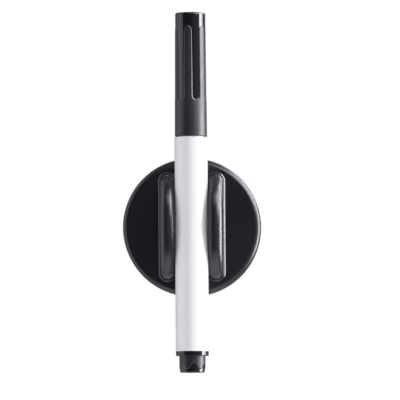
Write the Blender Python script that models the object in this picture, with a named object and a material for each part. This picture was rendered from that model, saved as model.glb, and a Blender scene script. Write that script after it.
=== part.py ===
"""Slim whiteboard marker clipped in a round magnetic holder.

The holder's pad lies on z = 0 with the disc centred on the origin. +Z points away from the
board, towards whoever looks at it, and +Y runs along the marker towards its cap.
"""

from math import cos, hypot, pi, radians, sin, sqrt

import bmesh
import bpy

MM = 0.001
WELD = 0.000001

# Fits
FIT_GAP = 0.3 * MM

# Holder disc, from the board outwards
DISC_SHOULDER_RADIUS = 2.3 * MM
DISC_EDGE_RADIUS = 0.5 * MM
PAD_THICKNESS = 0.8 * MM
PAD_INSET = 0.6 * MM
BACK_PLATE_THICKNESS = 1.0 * MM
MAGNET_RADIUS = 13.5 * MM
MAGNET_THICKNESS = 2.5 * MM
STEEL_THICKNESS = 0.9 * MM
LOCATING_RIB_HEIGHT = 1.6 * MM
LOCATING_RIB_WIDTH = 1.2 * MM
COVER_FACE_THICKNESS = 1.6 * MM
COVER_RIM_WIDTH = 2.0 * MM

# Jaws
JAW_LENGTH = 41.7 * MM
JAW_WIDTH = 7.2 * MM
JAW_TUCK = 0.75 * MM
JAW_FLANGE_REACH = 0.7 * MM
JAW_FLANGE_THICKNESS = 0.8 * MM
PLINTH_HEIGHT = 1.2 * MM
PLINTH_EDGE = 0.7 * MM
FIN_LEDGE = 0.8 * MM
LIP_REACH = 0.3 * MM
CREST_ABOVE_AXIS = 5.85 * MM
CREST_FULLNESS = 0.6

# Marker barrel, measured along the marker from the shoulder that the cap meets
SHOULDER_FROM_DISC_CENTRE = 33.55 * MM
BARREL_LENGTH = 80.8 * MM
BARREL_RADIUS = 6.25 * MM
BARREL_WALL = 1.1 * MM
BARREL_EDGE = 0.25 * MM
BARREL_FRONT_WALL = 1.5 * MM
NECK_LENGTH = 10.0 * MM
NECK_RADIUS = 4.9 * MM
NECK_WALL = 1.0 * MM
NECK_CHAMFER = 0.4 * MM

# Nib holder and nib
NIB_HOLDER_STEM_LENGTH = 7.5 * MM
NIB_HOLDER_FLANGE_THICKNESS = 1.0 * MM
NIB_HOLDER_SLEEVE_LENGTH = 8.0 * MM
NIB_HOLDER_CONE_LENGTH = 3.0 * MM
NIB_HOLDER_CONE_RIM = 0.5 * MM
NIB_RADIUS = 1.9 * MM
NIB_REACH = 7.5 * MM
NIB_TIP_FLAT = 0.6 * MM
NIB_DEPTH_IN_RESERVOIR = 8.0 * MM

# Ink reservoir
FILM_THICKNESS = 0.3 * MM

# Tail plug
PLUG_STEM_LENGTH = 8.0 * MM
PLUG_WALL = 1.1 * MM
PLUG_FLANGE_INSET = 0.06 * MM
PLUG_FLANGE_THICKNESS = 1.4 * MM
PLUG_FLANGE_EDGE = 0.35 * MM
PLUG_GRIP_LENGTH = 6.4 * MM
PLUG_GRIP_RADIUS = 4.95 * MM
PLUG_GRIP_TAPER = 0.05 * MM
PLUG_END_EDGE = 0.4 * MM
PLUG_END_DOME = 0.15 * MM
PLUG_FLOOR = 1.6 * MM
ARCH_COUNT = 6
ARCH_TURN = radians(13.0)
ARCH_HEIGHT = 1.95 * MM
ARCH_DEPTH = 0.22 * MM
ARCH_FULLNESS = 0.7
ARCH_DRAFT = 0.15 * MM
ARCH_FOOT_ABOVE_END = 1.4 * MM

# Cap
CAP_LENGTH = 46.95 * MM
CAP_MOUTH_WALL = 0.88 * MM
CAP_TAPER = 0.3 * MM
CAP_END_WALL = 1.4 * MM
CAP_END_EDGE = 0.85 * MM
CAP_END_DOME = 0.2 * MM
CAP_MOUTH_EDGE = 0.15 * MM
CAP_SIDE_WALL = 1.11 * MM
FLUTE_COUNT = 6
FLUTE_TURN = radians(20.7)
FLUTE_WIDTH = 3.55 * MM
FLUTE_DRAFT = 0.3 * MM
FLUTE_FOOT_ABOVE_MOUTH = 13.3 * MM
FLUTE_FOOT_ROUND = 1.6 * MM
FINGER_TOP_BELOW_END = 5.2 * MM
FINGER_TOP_ROUND = 2.3 * MM
FINGER_TOP_STEP = 0.09 * MM

# Inner seal of the cap
SEAL_WALL = 0.7 * MM
SEAL_END_WALL = 1.2 * MM
SEAL_NIB_ROOM = 1.5 * MM

# Facets
DISC_SEGMENTS = 80
PLATE_SEGMENTS = 56
TUBE_SEGMENTS = 64
INNER_SEGMENTS = 32
ROUND_END_STEPS = 8
SHOULDER_STEPS = 7
JAW_STATIONS = 19
PLINTH_STEPS = 4
DOME_STEPS = 12
CRADLE_STEPS = 8
ARCH_STEPS = 10

# Holder heights, stacked up from the board
BACK_PLATE_Z = PAD_THICKNESS + FIT_GAP
MAGNET_Z = BACK_PLATE_Z + BACK_PLATE_THICKNESS + FIT_GAP
STEEL_TOP_Z = MAGNET_Z + MAGNET_THICKNESS + FIT_GAP + STEEL_THICKNESS
JAW_FLANGE_Z = STEEL_TOP_Z + FIT_GAP
COVER_FACE_Z = JAW_FLANGE_Z + JAW_FLANGE_THICKNESS + FIT_GAP
DISC_TOP_Z = COVER_FACE_Z + COVER_FACE_THICKNESS
PLINTH_TOP_Z = DISC_TOP_Z + PLINTH_HEIGHT
AXIS_Z = DISC_TOP_Z + FIT_GAP + BARREL_RADIUS

# Radii and places that follow from the neighbours
CRADLE_RADIUS = BARREL_RADIUS + FIT_GAP
JAW_CENTRE_X = BARREL_RADIUS - JAW_TUCK + JAW_WIDTH / 2
FIN_OUTER_X = JAW_CENTRE_X + JAW_WIDTH / 2 - FIN_LEDGE
FIN_INNER_X = BARREL_RADIUS - LIP_REACH
FIN_CENTRE_X = (FIN_OUTER_X + FIN_INNER_X) / 2
FIN_RADIUS = (FIN_OUTER_X - FIN_INNER_X) / 2
FIN_HALF_LENGTH = JAW_LENGTH / 2 - FIN_LEDGE
JAW_CORNER_REACH = hypot(JAW_CENTRE_X, (JAW_LENGTH - JAW_WIDTH) / 2) + JAW_WIDTH / 2
RIM_BORE_RADIUS = JAW_CORNER_REACH + JAW_FLANGE_REACH + FIT_GAP
DISC_RADIUS = RIM_BORE_RADIUS + COVER_RIM_WIDTH
BORE_RADIUS = BARREL_RADIUS - BARREL_WALL
NECK_BORE_RADIUS = NECK_RADIUS - NECK_WALL
BARREL_REAR = -BARREL_LENGTH
NIB_HOLDER_FLANGE_FOOT = NECK_LENGTH + FIT_GAP
NIB_HOLDER_FLANGE_TOP = NIB_HOLDER_FLANGE_FOOT + NIB_HOLDER_FLANGE_THICKNESS
NIB_HOLDER_SLEEVE_TOP = NIB_HOLDER_FLANGE_TOP + NIB_HOLDER_SLEEVE_LENGTH
NIB_HOLDER_TIP = NIB_HOLDER_SLEEVE_TOP + NIB_HOLDER_CONE_LENGTH
NIB_TIP = NIB_HOLDER_TIP + NIB_REACH
RESERVOIR_FRONT = -BARREL_FRONT_WALL - FIT_GAP
PLUG_STEM_TOP = BARREL_REAR - FIT_GAP + PLUG_STEM_LENGTH
RESERVOIR_REAR = PLUG_STEM_TOP + FIT_GAP
FILM_RADIUS = BORE_RADIUS - FIT_GAP
RESERVOIR_RADIUS = FILM_RADIUS - FILM_THICKNESS - FIT_GAP
CAP_BORE_RADIUS = NECK_RADIUS + FIT_GAP
CAP_MOUTH_RADIUS = CAP_BORE_RADIUS + CAP_MOUTH_WALL
CAP_FLUTE_RADIUS = CAP_MOUTH_RADIUS - CAP_TAPER - FINGER_TOP_STEP
CAP_UPPER_BORE = CAP_FLUTE_RADIUS - CAP_SIDE_WALL
SEAL_RADIUS = CAP_UPPER_BORE - FIT_GAP
SEAL_BORE_RADIUS = SEAL_RADIUS - SEAL_WALL
NIB_HOLDER_SLEEVE_RADIUS = SEAL_BORE_RADIUS - FIT_GAP

# Heights above the cap's mouth, which stands just off the barrel's shoulder
CAP_MOUTH = FIT_GAP
SEAL_MOUTH = NIB_HOLDER_FLANGE_TOP + FIT_GAP - CAP_MOUTH
SEAL_FLOOR = NIB_TIP + SEAL_NIB_ROOM - CAP_MOUTH
SEAL_END = SEAL_FLOOR + SEAL_END_WALL


def clear_scene():
    """Remove every object that the file opened with."""
    for old in list(bpy.data.objects):
        bpy.data.objects.remove(old, do_unlink=True)


def make_material(name, colour, roughness, metallic=0.0):
    """Make a Principled material of one colour."""
    material = bpy.data.materials.new(name)
    material.use_nodes = True
    shader = material.node_tree.nodes["Principled BSDF"]
    shader.inputs["Base Color"].default_value = (*colour, 1.0)
    shader.inputs["Roughness"].default_value = roughness
    shader.inputs["Metallic"].default_value = metallic
    return material


def add_object(name, bm, material=None, parent=None):
    """Turn a finished bmesh into a smooth-shaded object with its faces pointing out."""
    bmesh.ops.recalc_face_normals(bm, faces=bm.faces)
    mesh = bpy.data.meshes.new(name)
    bm.to_mesh(mesh)
    bm.free()
    mesh.shade_smooth()
    mesh.set_sharp_from_angle(angle=radians(35.0))
    piece = bpy.data.objects.new(name, mesh)
    bpy.context.collection.objects.link(piece)
    if material:
        mesh.materials.append(material)
    piece.parent = parent
    return piece


def hide_tool(piece):
    """Mark a piece as a modelling tool that isn't part of the object."""
    piece.hide_render = True
    piece.display_type = "WIRE"
    return piece


def add_boolean(piece, tool, operation):
    """Cut a piece by a tool or join it to the tool."""
    modifier = piece.modifiers.new(tool.name, "BOOLEAN")
    modifier.operation = operation
    modifier.solver = "EXACT"
    modifier.object = tool


def arc(centre, radius, start, end, steps):
    """Give the points of an arc, from one angle in degrees to another."""
    turns = [radians(start + (end - start) * step / steps) for step in range(steps + 1)]
    return [(centre[0] + radius * cos(turn), centre[1] + radius * sin(turn)) for turn in turns]


def turned(name, profile, segments, material, parent=None):
    """Turn a profile of (radius, height) points about the local Z axis.

    A profile that starts on the axis ends there too. Any other profile is a closed outline.
    """
    bm = bmesh.new()
    verts = [bm.verts.new((radius, 0.0, height)) for radius, height in profile]
    edges = [bm.edges.new(pair) for pair in zip(verts, verts[1:])]
    if profile[0][0] > 0.0:
        edges.append(bm.edges.new((verts[-1], verts[0])))
    bmesh.ops.spin(bm, geom=verts + edges, cent=(0, 0, 0), axis=(0, 0, 1),
                   angle=2 * pi, steps=segments, use_merge=True)
    bmesh.ops.remove_doubles(bm, verts=bm.verts, dist=WELD)
    return add_object(name, bm, material, parent)


def add_ring(bm, radii, heights, turns):
    """Add one loop of points about the local Z axis."""
    return [bm.verts.new((radius * cos(turn), radius * sin(turn), height))
            for radius, height, turn in zip(radii, heights, turns)]


def add_plain_ring(bm, radius, height, turns):
    """Add one loop of points of a single radius and height."""
    return add_ring(bm, [radius] * len(turns), [height] * len(turns), turns)


def bridge(bm, lower, upper):
    """Join two loops of as many points with a band of faces."""
    for index in range(len(lower)):
        after = (index + 1) % len(lower)
        bm.faces.new((lower[index], lower[after], upper[after], upper[index]))


def add_rings(bm, start, rings, turns):
    """Run a wall on from a loop through plain rings of (radius, height) and give its last loop."""
    for radius, height in rings:
        following = add_plain_ring(bm, radius, height, turns)
        bridge(bm, start, following)
        start = following
    return start


def close_on_axis(bm, loop, height):
    """Close a loop with a fan that meets on the local Z axis."""
    pole = bm.verts.new((0.0, 0.0, height))
    for index, vert in enumerate(loop):
        bm.faces.new((vert, loop[(index + 1) % len(loop)], pole))


def stadium(centre_x, half_length, radius):
    """Give the outline of a slot with round ends that runs along Y."""
    straight = half_length - radius
    front = arc((centre_x, straight), radius, 0.0, 180.0, ROUND_END_STEPS * 2)
    back = arc((centre_x, -straight), radius, 180.0, 360.0, ROUND_END_STEPS * 2)
    return front + back


def stack_outlines(bm, layers):
    """Loft through flat (outline, height) layers and close both ends."""
    loops = [[bm.verts.new((x, y, height)) for x, y in outline] for outline, height in layers]
    for lower, upper in zip(loops, loops[1:]):
        bridge(bm, lower, upper)
    bm.faces.new(loops[0])
    bm.faces.new(loops[-1])


def make_base_pad(material):
    """Make the thin pad that lies on the board."""
    radius = DISC_RADIUS - PAD_INSET
    profile = [(0.0, PAD_THICKNESS), (radius, PAD_THICKNESS), (radius, 0.0), (0.0, 0.0)]
    return turned("base_pad", profile, DISC_SEGMENTS, material)


def make_back_plate(material):
    """Make the plate that closes the disc, with the rib that locates the steel cup."""
    radius = RIM_BORE_RADIUS - FIT_GAP
    top = BACK_PLATE_Z + BACK_PLATE_THICKNESS
    rib_inner = MAGNET_RADIUS + FIT_GAP + STEEL_THICKNESS + FIT_GAP
    rib_outer = rib_inner + LOCATING_RIB_WIDTH
    rib_top = top + LOCATING_RIB_HEIGHT
    profile = [(0.0, top), (rib_inner, top), (rib_inner, rib_top), (rib_outer, rib_top),
               (rib_outer, top), (radius, top), (radius, BACK_PLATE_Z), (0.0, BACK_PLATE_Z)]
    return turned("back_plate", profile, PLATE_SEGMENTS, material)


def make_magnet(material):
    """Make the flat disc magnet."""
    top = MAGNET_Z + MAGNET_THICKNESS
    profile = [(0.0, top), (MAGNET_RADIUS, top), (MAGNET_RADIUS, MAGNET_Z), (0.0, MAGNET_Z)]
    return turned("magnet", profile, PLATE_SEGMENTS, material)


def make_steel_cup(material):
    """Make the steel cup that stands over the magnet and opens towards the board."""
    inner = MAGNET_RADIUS + FIT_GAP
    outer = inner + STEEL_THICKNESS
    floor = STEEL_TOP_Z - STEEL_THICKNESS
    profile = [(0.0, STEEL_TOP_Z), (outer, STEEL_TOP_Z), (outer, MAGNET_Z), (inner, MAGNET_Z),
               (inner, floor), (0.0, floor)]
    return turned("steel_cup", profile, PLATE_SEGMENTS, material)


def make_holder_cover(material):
    """Make the moulded disc, open at its back, with a slot for each jaw."""
    shoulder = arc((DISC_RADIUS - DISC_SHOULDER_RADIUS, DISC_TOP_Z - DISC_SHOULDER_RADIUS),
                   DISC_SHOULDER_RADIUS, 90.0, 0.0, SHOULDER_STEPS)
    profile = [(0.0, DISC_TOP_Z), *shoulder,
               (DISC_RADIUS, BACK_PLATE_Z + DISC_EDGE_RADIUS),
               (DISC_RADIUS - DISC_EDGE_RADIUS, BACK_PLATE_Z),
               (RIM_BORE_RADIUS, BACK_PLATE_Z), (RIM_BORE_RADIUS, COVER_FACE_Z), (0.0, COVER_FACE_Z)]
    cover = turned("holder_cover", profile, DISC_SEGMENTS, material)
    for side in (-1, 1):
        bm = bmesh.new()
        outline = stadium(side * JAW_CENTRE_X, JAW_LENGTH / 2 + FIT_GAP, JAW_WIDTH / 2 + FIT_GAP)
        stack_outlines(bm, [(outline, JAW_FLANGE_Z), (outline, PLINTH_TOP_Z)])
        tool = hide_tool(add_object(f"slot_tool_{side}", bm))
        add_boolean(cover, tool, "DIFFERENCE")
    return cover


def fin_section(share):
    """Give one cross-section of the fin as (distance from the marker's plane, height) points.

    The outer wall rises to a round dome, and the inner wall comes down from it. What would reach
    into the barrel's cradle is pushed back onto it, which leaves a lip over the barrel.

    Args:
        share: place along the fin, from -1 at its tail end to 1 at its cap end.
    """
    past_straight = max(0.0, abs(share) * FIN_HALF_LENGTH - (FIN_HALF_LENGTH - FIN_RADIUS))
    half_width = sqrt(FIN_RADIUS ** 2 - past_straight ** 2)
    crest = (AXIS_Z + CREST_ABOVE_AXIS - PLINTH_TOP_Z) * (1.0 - share ** 2) ** CREST_FULLNESS
    dome = min(half_width, crest)
    spring_z = PLINTH_TOP_Z + crest - dome
    foot_z = PLINTH_TOP_Z - PLINTH_HEIGHT / 2
    points = [(FIN_CENTRE_X + half_width, foot_z)]
    for across, up in arc((0.0, 0.0), 1.0, 0.0, 180.0, DOME_STEPS):
        points.append((FIN_CENTRE_X + half_width * across, spring_z + dome * up))
    for step in range(1, CRADLE_STEPS + 1):
        points.append((FIN_CENTRE_X - half_width, spring_z + (foot_z - spring_z) * step / CRADLE_STEPS))
    return [clear_of_cradle(x, z) for x, z in points]


def clear_of_cradle(x, z):
    """Push a point out to the cradle's cylinder if it lies inside it."""
    distance = hypot(x, z - AXIS_Z)
    if distance >= CRADLE_RADIUS:
        return x, z
    scale = CRADLE_RADIUS / distance
    return x * scale, AXIS_Z + (z - AXIS_Z) * scale


def make_jaw(name, side, material):
    """Make one jaw: an arched fin on a plinth, held by a flange behind the cover's slot.

    Args:
        name: the jaw's name.
        side: 1 for the jaw at +X, -1 for the jaw at -X.
    """
    bm = bmesh.new()
    widest = 85.0
    shares = [sin(radians(widest * (2 * station / (JAW_STATIONS - 1) - 1)))
              for station in range(JAW_STATIONS)]
    loops = [[bm.verts.new((side * x, share * FIN_HALF_LENGTH, z)) for x, z in fin_section(share)]
             for share in shares]
    for lower, upper in zip(loops, loops[1:]):
        bridge(bm, lower, upper)
    bm.faces.new(loops[0])
    bm.faces.new(loops[-1])
    jaw = add_object(name, bm, material)

    centre = side * JAW_CENTRE_X
    half_length = JAW_LENGTH / 2
    half_width = JAW_WIDTH / 2
    root = stadium(centre, half_length, half_width)
    flange = stadium(centre, half_length + JAW_FLANGE_REACH, half_width + JAW_FLANGE_REACH)
    flange_top = JAW_FLANGE_Z + JAW_FLANGE_THICKNESS
    round_edge = arc((-PLINTH_EDGE, PLINTH_TOP_Z - PLINTH_EDGE), PLINTH_EDGE, 0.0, 90.0, PLINTH_STEPS)
    bm = bmesh.new()
    stack_outlines(bm, [(flange, JAW_FLANGE_Z), (flange, flange_top), (root, flange_top)]
                   + [(stadium(centre, half_length + inset, half_width + inset), height)
                      for inset, height in round_edge])
    add_boolean(jaw, hide_tool(add_object(f"{name}_root_tool", bm)), "UNION")
    return jaw


def make_barrel(material, parent):
    """Make the barrel with the neck that the cap slides over."""
    neck_top = NECK_LENGTH - NECK_CHAMFER
    profile = [(NECK_BORE_RADIUS, NECK_LENGTH), (NECK_RADIUS - NECK_CHAMFER, NECK_LENGTH),
               (NECK_RADIUS, neck_top), (NECK_RADIUS, 0.0),
               (BARREL_RADIUS - BARREL_EDGE, 0.0), (BARREL_RADIUS, -BARREL_EDGE),
               (BARREL_RADIUS, BARREL_REAR + BARREL_EDGE), (BARREL_RADIUS - BARREL_EDGE, BARREL_REAR),
               (BORE_RADIUS, BARREL_REAR), (BORE_RADIUS, -BARREL_FRONT_WALL),
               (NECK_BORE_RADIUS, -BARREL_FRONT_WALL)]
    return turned("barrel", profile, TUBE_SEGMENTS, material, parent)


def make_nib_holder(material, parent):
    """Make the front piece that sits in the neck and grips the nib."""
    bore = NIB_RADIUS + FIT_GAP
    stem = NECK_BORE_RADIUS - FIT_GAP
    flange = NECK_RADIUS - FIT_GAP
    stem_foot = NIB_HOLDER_FLANGE_FOOT - NIB_HOLDER_STEM_LENGTH
    profile = [(bore, NIB_HOLDER_TIP), (bore + NIB_HOLDER_CONE_RIM, NIB_HOLDER_TIP),
               (NIB_HOLDER_SLEEVE_RADIUS, NIB_HOLDER_SLEEVE_TOP),
               (NIB_HOLDER_SLEEVE_RADIUS, NIB_HOLDER_FLANGE_TOP),
               (flange, NIB_HOLDER_FLANGE_TOP), (flange, NIB_HOLDER_FLANGE_FOOT),
               (stem, NIB_HOLDER_FLANGE_FOOT), (stem, stem_foot), (bore, stem_foot)]
    return turned("nib_holder", profile, INNER_SEGMENTS, material, parent)


def make_nib(material, parent):
    """Make the bullet nib, from its round tip back into the reservoir."""
    rear = RESERVOIR_FRONT - NIB_DEPTH_IN_RESERVOIR
    round_tip = arc((NIB_TIP_FLAT, NIB_TIP - NIB_RADIUS + NIB_TIP_FLAT), NIB_RADIUS - NIB_TIP_FLAT,
                    90.0, 0.0, ROUND_END_STEPS // 2)
    profile = [(0.0, NIB_TIP), *round_tip, (NIB_RADIUS, rear), (0.0, rear)]
    return turned("nib", profile, INNER_SEGMENTS, material, parent)


def make_reservoir(material, parent):
    """Make the fibre rod, with the hole that takes the nib's rear end."""
    hole = NIB_RADIUS + FIT_GAP
    hole_floor = RESERVOIR_FRONT - NIB_DEPTH_IN_RESERVOIR - FIT_GAP
    profile = [(0.0, hole_floor), (hole, hole_floor), (hole, RESERVOIR_FRONT),
               (RESERVOIR_RADIUS, RESERVOIR_FRONT), (RESERVOIR_RADIUS, RESERVOIR_REAR),
               (0.0, RESERVOIR_REAR)]
    return turned("ink_reservoir", profile, INNER_SEGMENTS, material, parent)


def make_reservoir_film(material, parent):
    """Make the film sleeve round the reservoir."""
    inner = FILM_RADIUS - FILM_THICKNESS
    profile = [(inner, RESERVOIR_FRONT), (FILM_RADIUS, RESERVOIR_FRONT),
               (FILM_RADIUS, RESERVOIR_REAR), (inner, RESERVOIR_REAR)]
    return turned("reservoir_film", profile, INNER_SEGMENTS, material, parent)


def make_tail_plug(material, parent):
    """Make the tail plug: a hollow stem, a flange and a tapered grip with bell-shaped arches."""
    columns = ARCH_COUNT * ARCH_STEPS
    first = ARCH_TURN - pi / 2
    turns = [first + 2 * pi * column / columns for column in range(columns)]
    bells = [max(0.0, 0.5 + 0.5 * cos(ARCH_COUNT * (turn - first))) ** ARCH_FULLNESS for turn in turns]
    stem = BORE_RADIUS - FIT_GAP
    stem_bore = stem - PLUG_WALL
    flange = BARREL_RADIUS - PLUG_FLANGE_INSET
    flange_top = BARREL_REAR - FIT_GAP
    grip_top = flange_top - PLUG_FLANGE_THICKNESS
    end = grip_top - PLUG_GRIP_LENGTH
    arch_foot = end + ARCH_FOOT_ABOVE_END
    end_radius = PLUG_GRIP_RADIUS - PLUG_GRIP_TAPER - ARCH_DEPTH

    def grip_radius(height):
        return PLUG_GRIP_RADIUS - PLUG_GRIP_TAPER * (grip_top - height) / PLUG_GRIP_LENGTH

    bm = bmesh.new()
    rim = add_plain_ring(bm, stem_bore, PLUG_STEM_TOP, turns)
    wall = add_rings(bm, rim, [
        (stem, PLUG_STEM_TOP), (stem, flange_top), (flange, flange_top),
        (flange, grip_top + PLUG_FLANGE_EDGE), (flange - PLUG_FLANGE_EDGE, grip_top),
        (PLUG_GRIP_RADIUS, grip_top)], turns)
    edges = [arch_foot + ARCH_HEIGHT * bell for bell in bells]
    proud = add_ring(bm, [grip_radius(edge) for edge in edges], edges, turns)
    bridge(bm, wall, proud)
    floors = [edge - ARCH_DRAFT for edge in edges]
    sunk = add_ring(bm, [grip_radius(floor) - ARCH_DEPTH for floor in floors], floors, turns)
    bridge(bm, proud, sunk)
    round_edge = arc((end_radius - PLUG_END_EDGE, end + PLUG_END_EDGE + PLUG_END_DOME),
                     PLUG_END_EDGE, 0.0, -90.0, ROUND_END_STEPS // 2)
    wall = add_rings(bm, sunk, round_edge, turns)
    close_on_axis(bm, wall, end)
    bore = add_rings(bm, rim, [(stem_bore, end + PLUG_FLOOR)], turns)
    close_on_axis(bm, bore, end + PLUG_FLOOR)
    return add_object("tail_plug", bm, material, parent)


class FluteOutline:
    """The winding line between the cap's raised satin part and its sunk polished part.

    Each column is a line along the cap. A column inside a flute or a finger crosses the line
    once, and a column at a flute's side runs along it from the flute's foot to the finger's top.
    """

    def __init__(self, offset):
        """Work the line out, moved by an offset into the flutes.

        Args:
            offset: how far the line lies inside the flutes, as the sunk edge does.
        """
        pitch = 2 * pi / FLUTE_COUNT
        radius = CAP_MOUTH_RADIUS - CAP_TAPER
        flute = FLUTE_WIDTH / 2 - offset
        finger = radius * pitch / 2 - flute
        foot = FLUTE_FOOT_ABOVE_MOUTH + offset
        foot_round = FLUTE_FOOT_ROUND - offset
        top = CAP_LENGTH - FINGER_TOP_BELOW_END + offset
        top_round = FINGER_TOP_ROUND + offset
        self.turns = []
        self.lows = []
        self.highs = []
        self.in_flute = []
        for index in range(FLUTE_COUNT):
            centre = FLUTE_TURN - pi / 2 + pitch * index
            for step in range(ROUND_END_STEPS + 1):
                bend = pi * step / ROUND_END_STEPS
                low = foot + foot_round * (1.0 - sin(bend))
                at_side = step in (0, ROUND_END_STEPS)
                self.add_column(centre - flute / radius * cos(bend), low,
                                top - top_round if at_side else low, step < ROUND_END_STEPS)
            for step in range(1, ROUND_END_STEPS):
                bend = pi * step / ROUND_END_STEPS
                high = top - top_round * (1.0 - sin(bend))
                self.add_column(centre + pitch / 2 - finger / radius * cos(bend), high, high, False)

    def add_column(self, turn, low, high, in_flute):
        """Add one column, and whether the strip after it lies in a flute."""
        self.turns.append(turn)
        self.lows.append(low)
        self.highs.append(high)
        self.in_flute.append(in_flute)


def cap_radius(height):
    """Give the cap's raised radius at a height above its mouth."""
    return CAP_MOUTH_RADIUS - CAP_TAPER * height / CAP_LENGTH


def flute_radius(height):
    """Give the radius of the polished part, which is a plain cylinder."""
    return CAP_FLUTE_RADIUS


def make_outline_columns(bm, outline, radius_at):
    """Add the points of a flute outline, one list of one or two points for each column."""
    columns = []
    for turn, low, high in zip(outline.turns, outline.lows, outline.highs):
        heights = [low] if low == high else [low, high]
        columns.append([bm.verts.new((radius_at(height) * cos(turn), radius_at(height) * sin(turn), height))
                        for height in heights])
    return columns


def add_fluted_wall(bm, mouth, top, proud, sunk, in_flute):
    """Fill the cap's outer wall: the satin part, the flutes' sides and the polished part."""
    for column, flute in enumerate(in_flute):
        after = (column + 1) % len(in_flute)
        low, low_after = (proud[column][:1], proud[after][:1]) if flute else (proud[column], proud[after])
        bm.faces.new([mouth[column], *low, *reversed(low_after), mouth[after]])
        high, high_after = (sunk[column], sunk[after]) if flute else (sunk[column][-1:], sunk[after][-1:])
        bm.faces.new([*high, top[column], top[after], *reversed(high_after)])
        end = 0 if flute else -1
        bm.faces.new((proud[column][end], proud[after][end], sunk[after][end], sunk[column][end]))
        if len(proud[column]) == 2:
            bm.faces.new((*proud[column], *reversed(sunk[column])))


def make_cap_shell(material, parent):
    """Make the cap, with its flutes and with the stepped bore for the neck and the seal."""
    bm = bmesh.new()
    raised = FluteOutline(0.0)
    lowered = FluteOutline(FLUTE_DRAFT)
    mouth = add_plain_ring(bm, cap_radius(CAP_MOUTH_EDGE), CAP_MOUTH_EDGE, raised.turns)
    top = add_plain_ring(bm, CAP_FLUTE_RADIUS, CAP_LENGTH - CAP_END_EDGE - CAP_END_DOME, lowered.turns)
    proud = make_outline_columns(bm, raised, cap_radius)
    sunk = make_outline_columns(bm, lowered, flute_radius)
    add_fluted_wall(bm, mouth, top, proud, sunk, raised.in_flute)

    round_edge = arc((CAP_FLUTE_RADIUS - CAP_END_EDGE, CAP_LENGTH - CAP_END_EDGE - CAP_END_DOME),
                     CAP_END_EDGE, 0.0, 90.0, ROUND_END_STEPS // 2)
    rim = add_rings(bm, top, round_edge[1:], lowered.turns)
    close_on_axis(bm, rim, CAP_LENGTH)

    seat = SEAL_END + FIT_GAP
    inner_end = CAP_LENGTH - CAP_END_WALL
    bore = add_rings(bm, mouth, [
        (CAP_MOUTH_RADIUS - CAP_MOUTH_EDGE, 0.0), (CAP_BORE_RADIUS, 0.0),
        (CAP_BORE_RADIUS, SEAL_MOUTH), (CAP_UPPER_BORE, SEAL_MOUTH), (CAP_UPPER_BORE, seat),
        (SEAL_BORE_RADIUS, seat), (SEAL_BORE_RADIUS, inner_end)], raised.turns)
    close_on_axis(bm, bore, inner_end)
    return add_object("cap_shell", bm, material, parent)


def make_cap_seal(material, parent):
    """Make the thimble that closes round the nib holder when the cap is on."""
    profile = [(0.0, SEAL_END), (SEAL_RADIUS, SEAL_END), (SEAL_RADIUS, SEAL_MOUTH),
               (SEAL_BORE_RADIUS, SEAL_MOUTH), (SEAL_BORE_RADIUS, SEAL_FLOOR), (0.0, SEAL_FLOOR)]
    return turned("cap_seal", profile, INNER_SEGMENTS, material, parent)


def add_frame(name, location, rotation=(0.0, 0.0, 0.0), parent=None):
    """Add an empty that carries the pieces of one body."""
    frame = bpy.data.objects.new(name, None)
    bpy.context.collection.objects.link(frame)
    frame.location = location
    frame.rotation_euler = rotation
    frame.parent = parent
    return frame


def main():
    """Build the holder, the marker in its jaws and the cap on the marker."""
    clear_scene()
    satin_black = make_material("satin_black", (0.022, 0.023, 0.027), 0.38)
    gloss_black = make_material("gloss_black", (0.014, 0.015, 0.018), 0.22)
    rubber_black = make_material("rubber_black", (0.030, 0.031, 0.036), 0.45)
    pad_grey = make_material("pad_grey", (0.045, 0.045, 0.048), 0.9)
    barrel_white = make_material("barrel_white", (0.84, 0.84, 0.86), 0.35)
    seal_white = make_material("seal_white", (0.75, 0.75, 0.74), 0.4)
    felt_black = make_material("felt_black", (0.010, 0.010, 0.012), 0.95)
    fibre_white = make_material("fibre_white", (0.55, 0.55, 0.57), 0.95)
    film_clear = make_material("film_clear", (0.70, 0.72, 0.74), 0.2)
    ferrite = make_material("ferrite", (0.055, 0.052, 0.050), 0.7)
    zinc_steel = make_material("zinc_steel", (0.55, 0.56, 0.58), 0.3, 1.0)

    make_base_pad(pad_grey)
    make_back_plate(satin_black)
    make_magnet(ferrite)
    make_steel_cup(zinc_steel)
    make_holder_cover(gloss_black)
    make_jaw("jaw_left", -1, rubber_black)
    make_jaw("jaw_right", 1, rubber_black)

    marker = add_frame("marker_frame", (0.0, SHOULDER_FROM_DISC_CENTRE, AXIS_Z), (-pi / 2, 0.0, 0.0))
    make_barrel(barrel_white, marker)
    make_nib_holder(seal_white, marker)
    make_nib(felt_black, marker)
    make_reservoir(fibre_white, marker)
    make_reservoir_film(film_clear, marker)
    make_tail_plug(satin_black, marker)

    cap = add_frame("cap_frame", (0.0, 0.0, CAP_MOUTH), parent=marker)
    make_cap_shell(satin_black, cap)
    make_cap_seal(seal_white, cap)


main()
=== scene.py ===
"""Looks of a slim whiteboard marker clipped in a round magnetic holder.

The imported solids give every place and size. Each solid is replaced by a finer mesh of the same form,
dressed in a procedural finish. Most lamps either light the pale barrel and show in no mirror, or show
in the black pieces and light nothing.
"""

import logging
from collections.abc import Callable
from dataclasses import dataclass, field
from enum import Enum
from math import atan2, cos, hypot, pi, radians, sin, sqrt, tan

import bmesh
import bpy
from mathutils import Matrix, Quaternion, Vector


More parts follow.
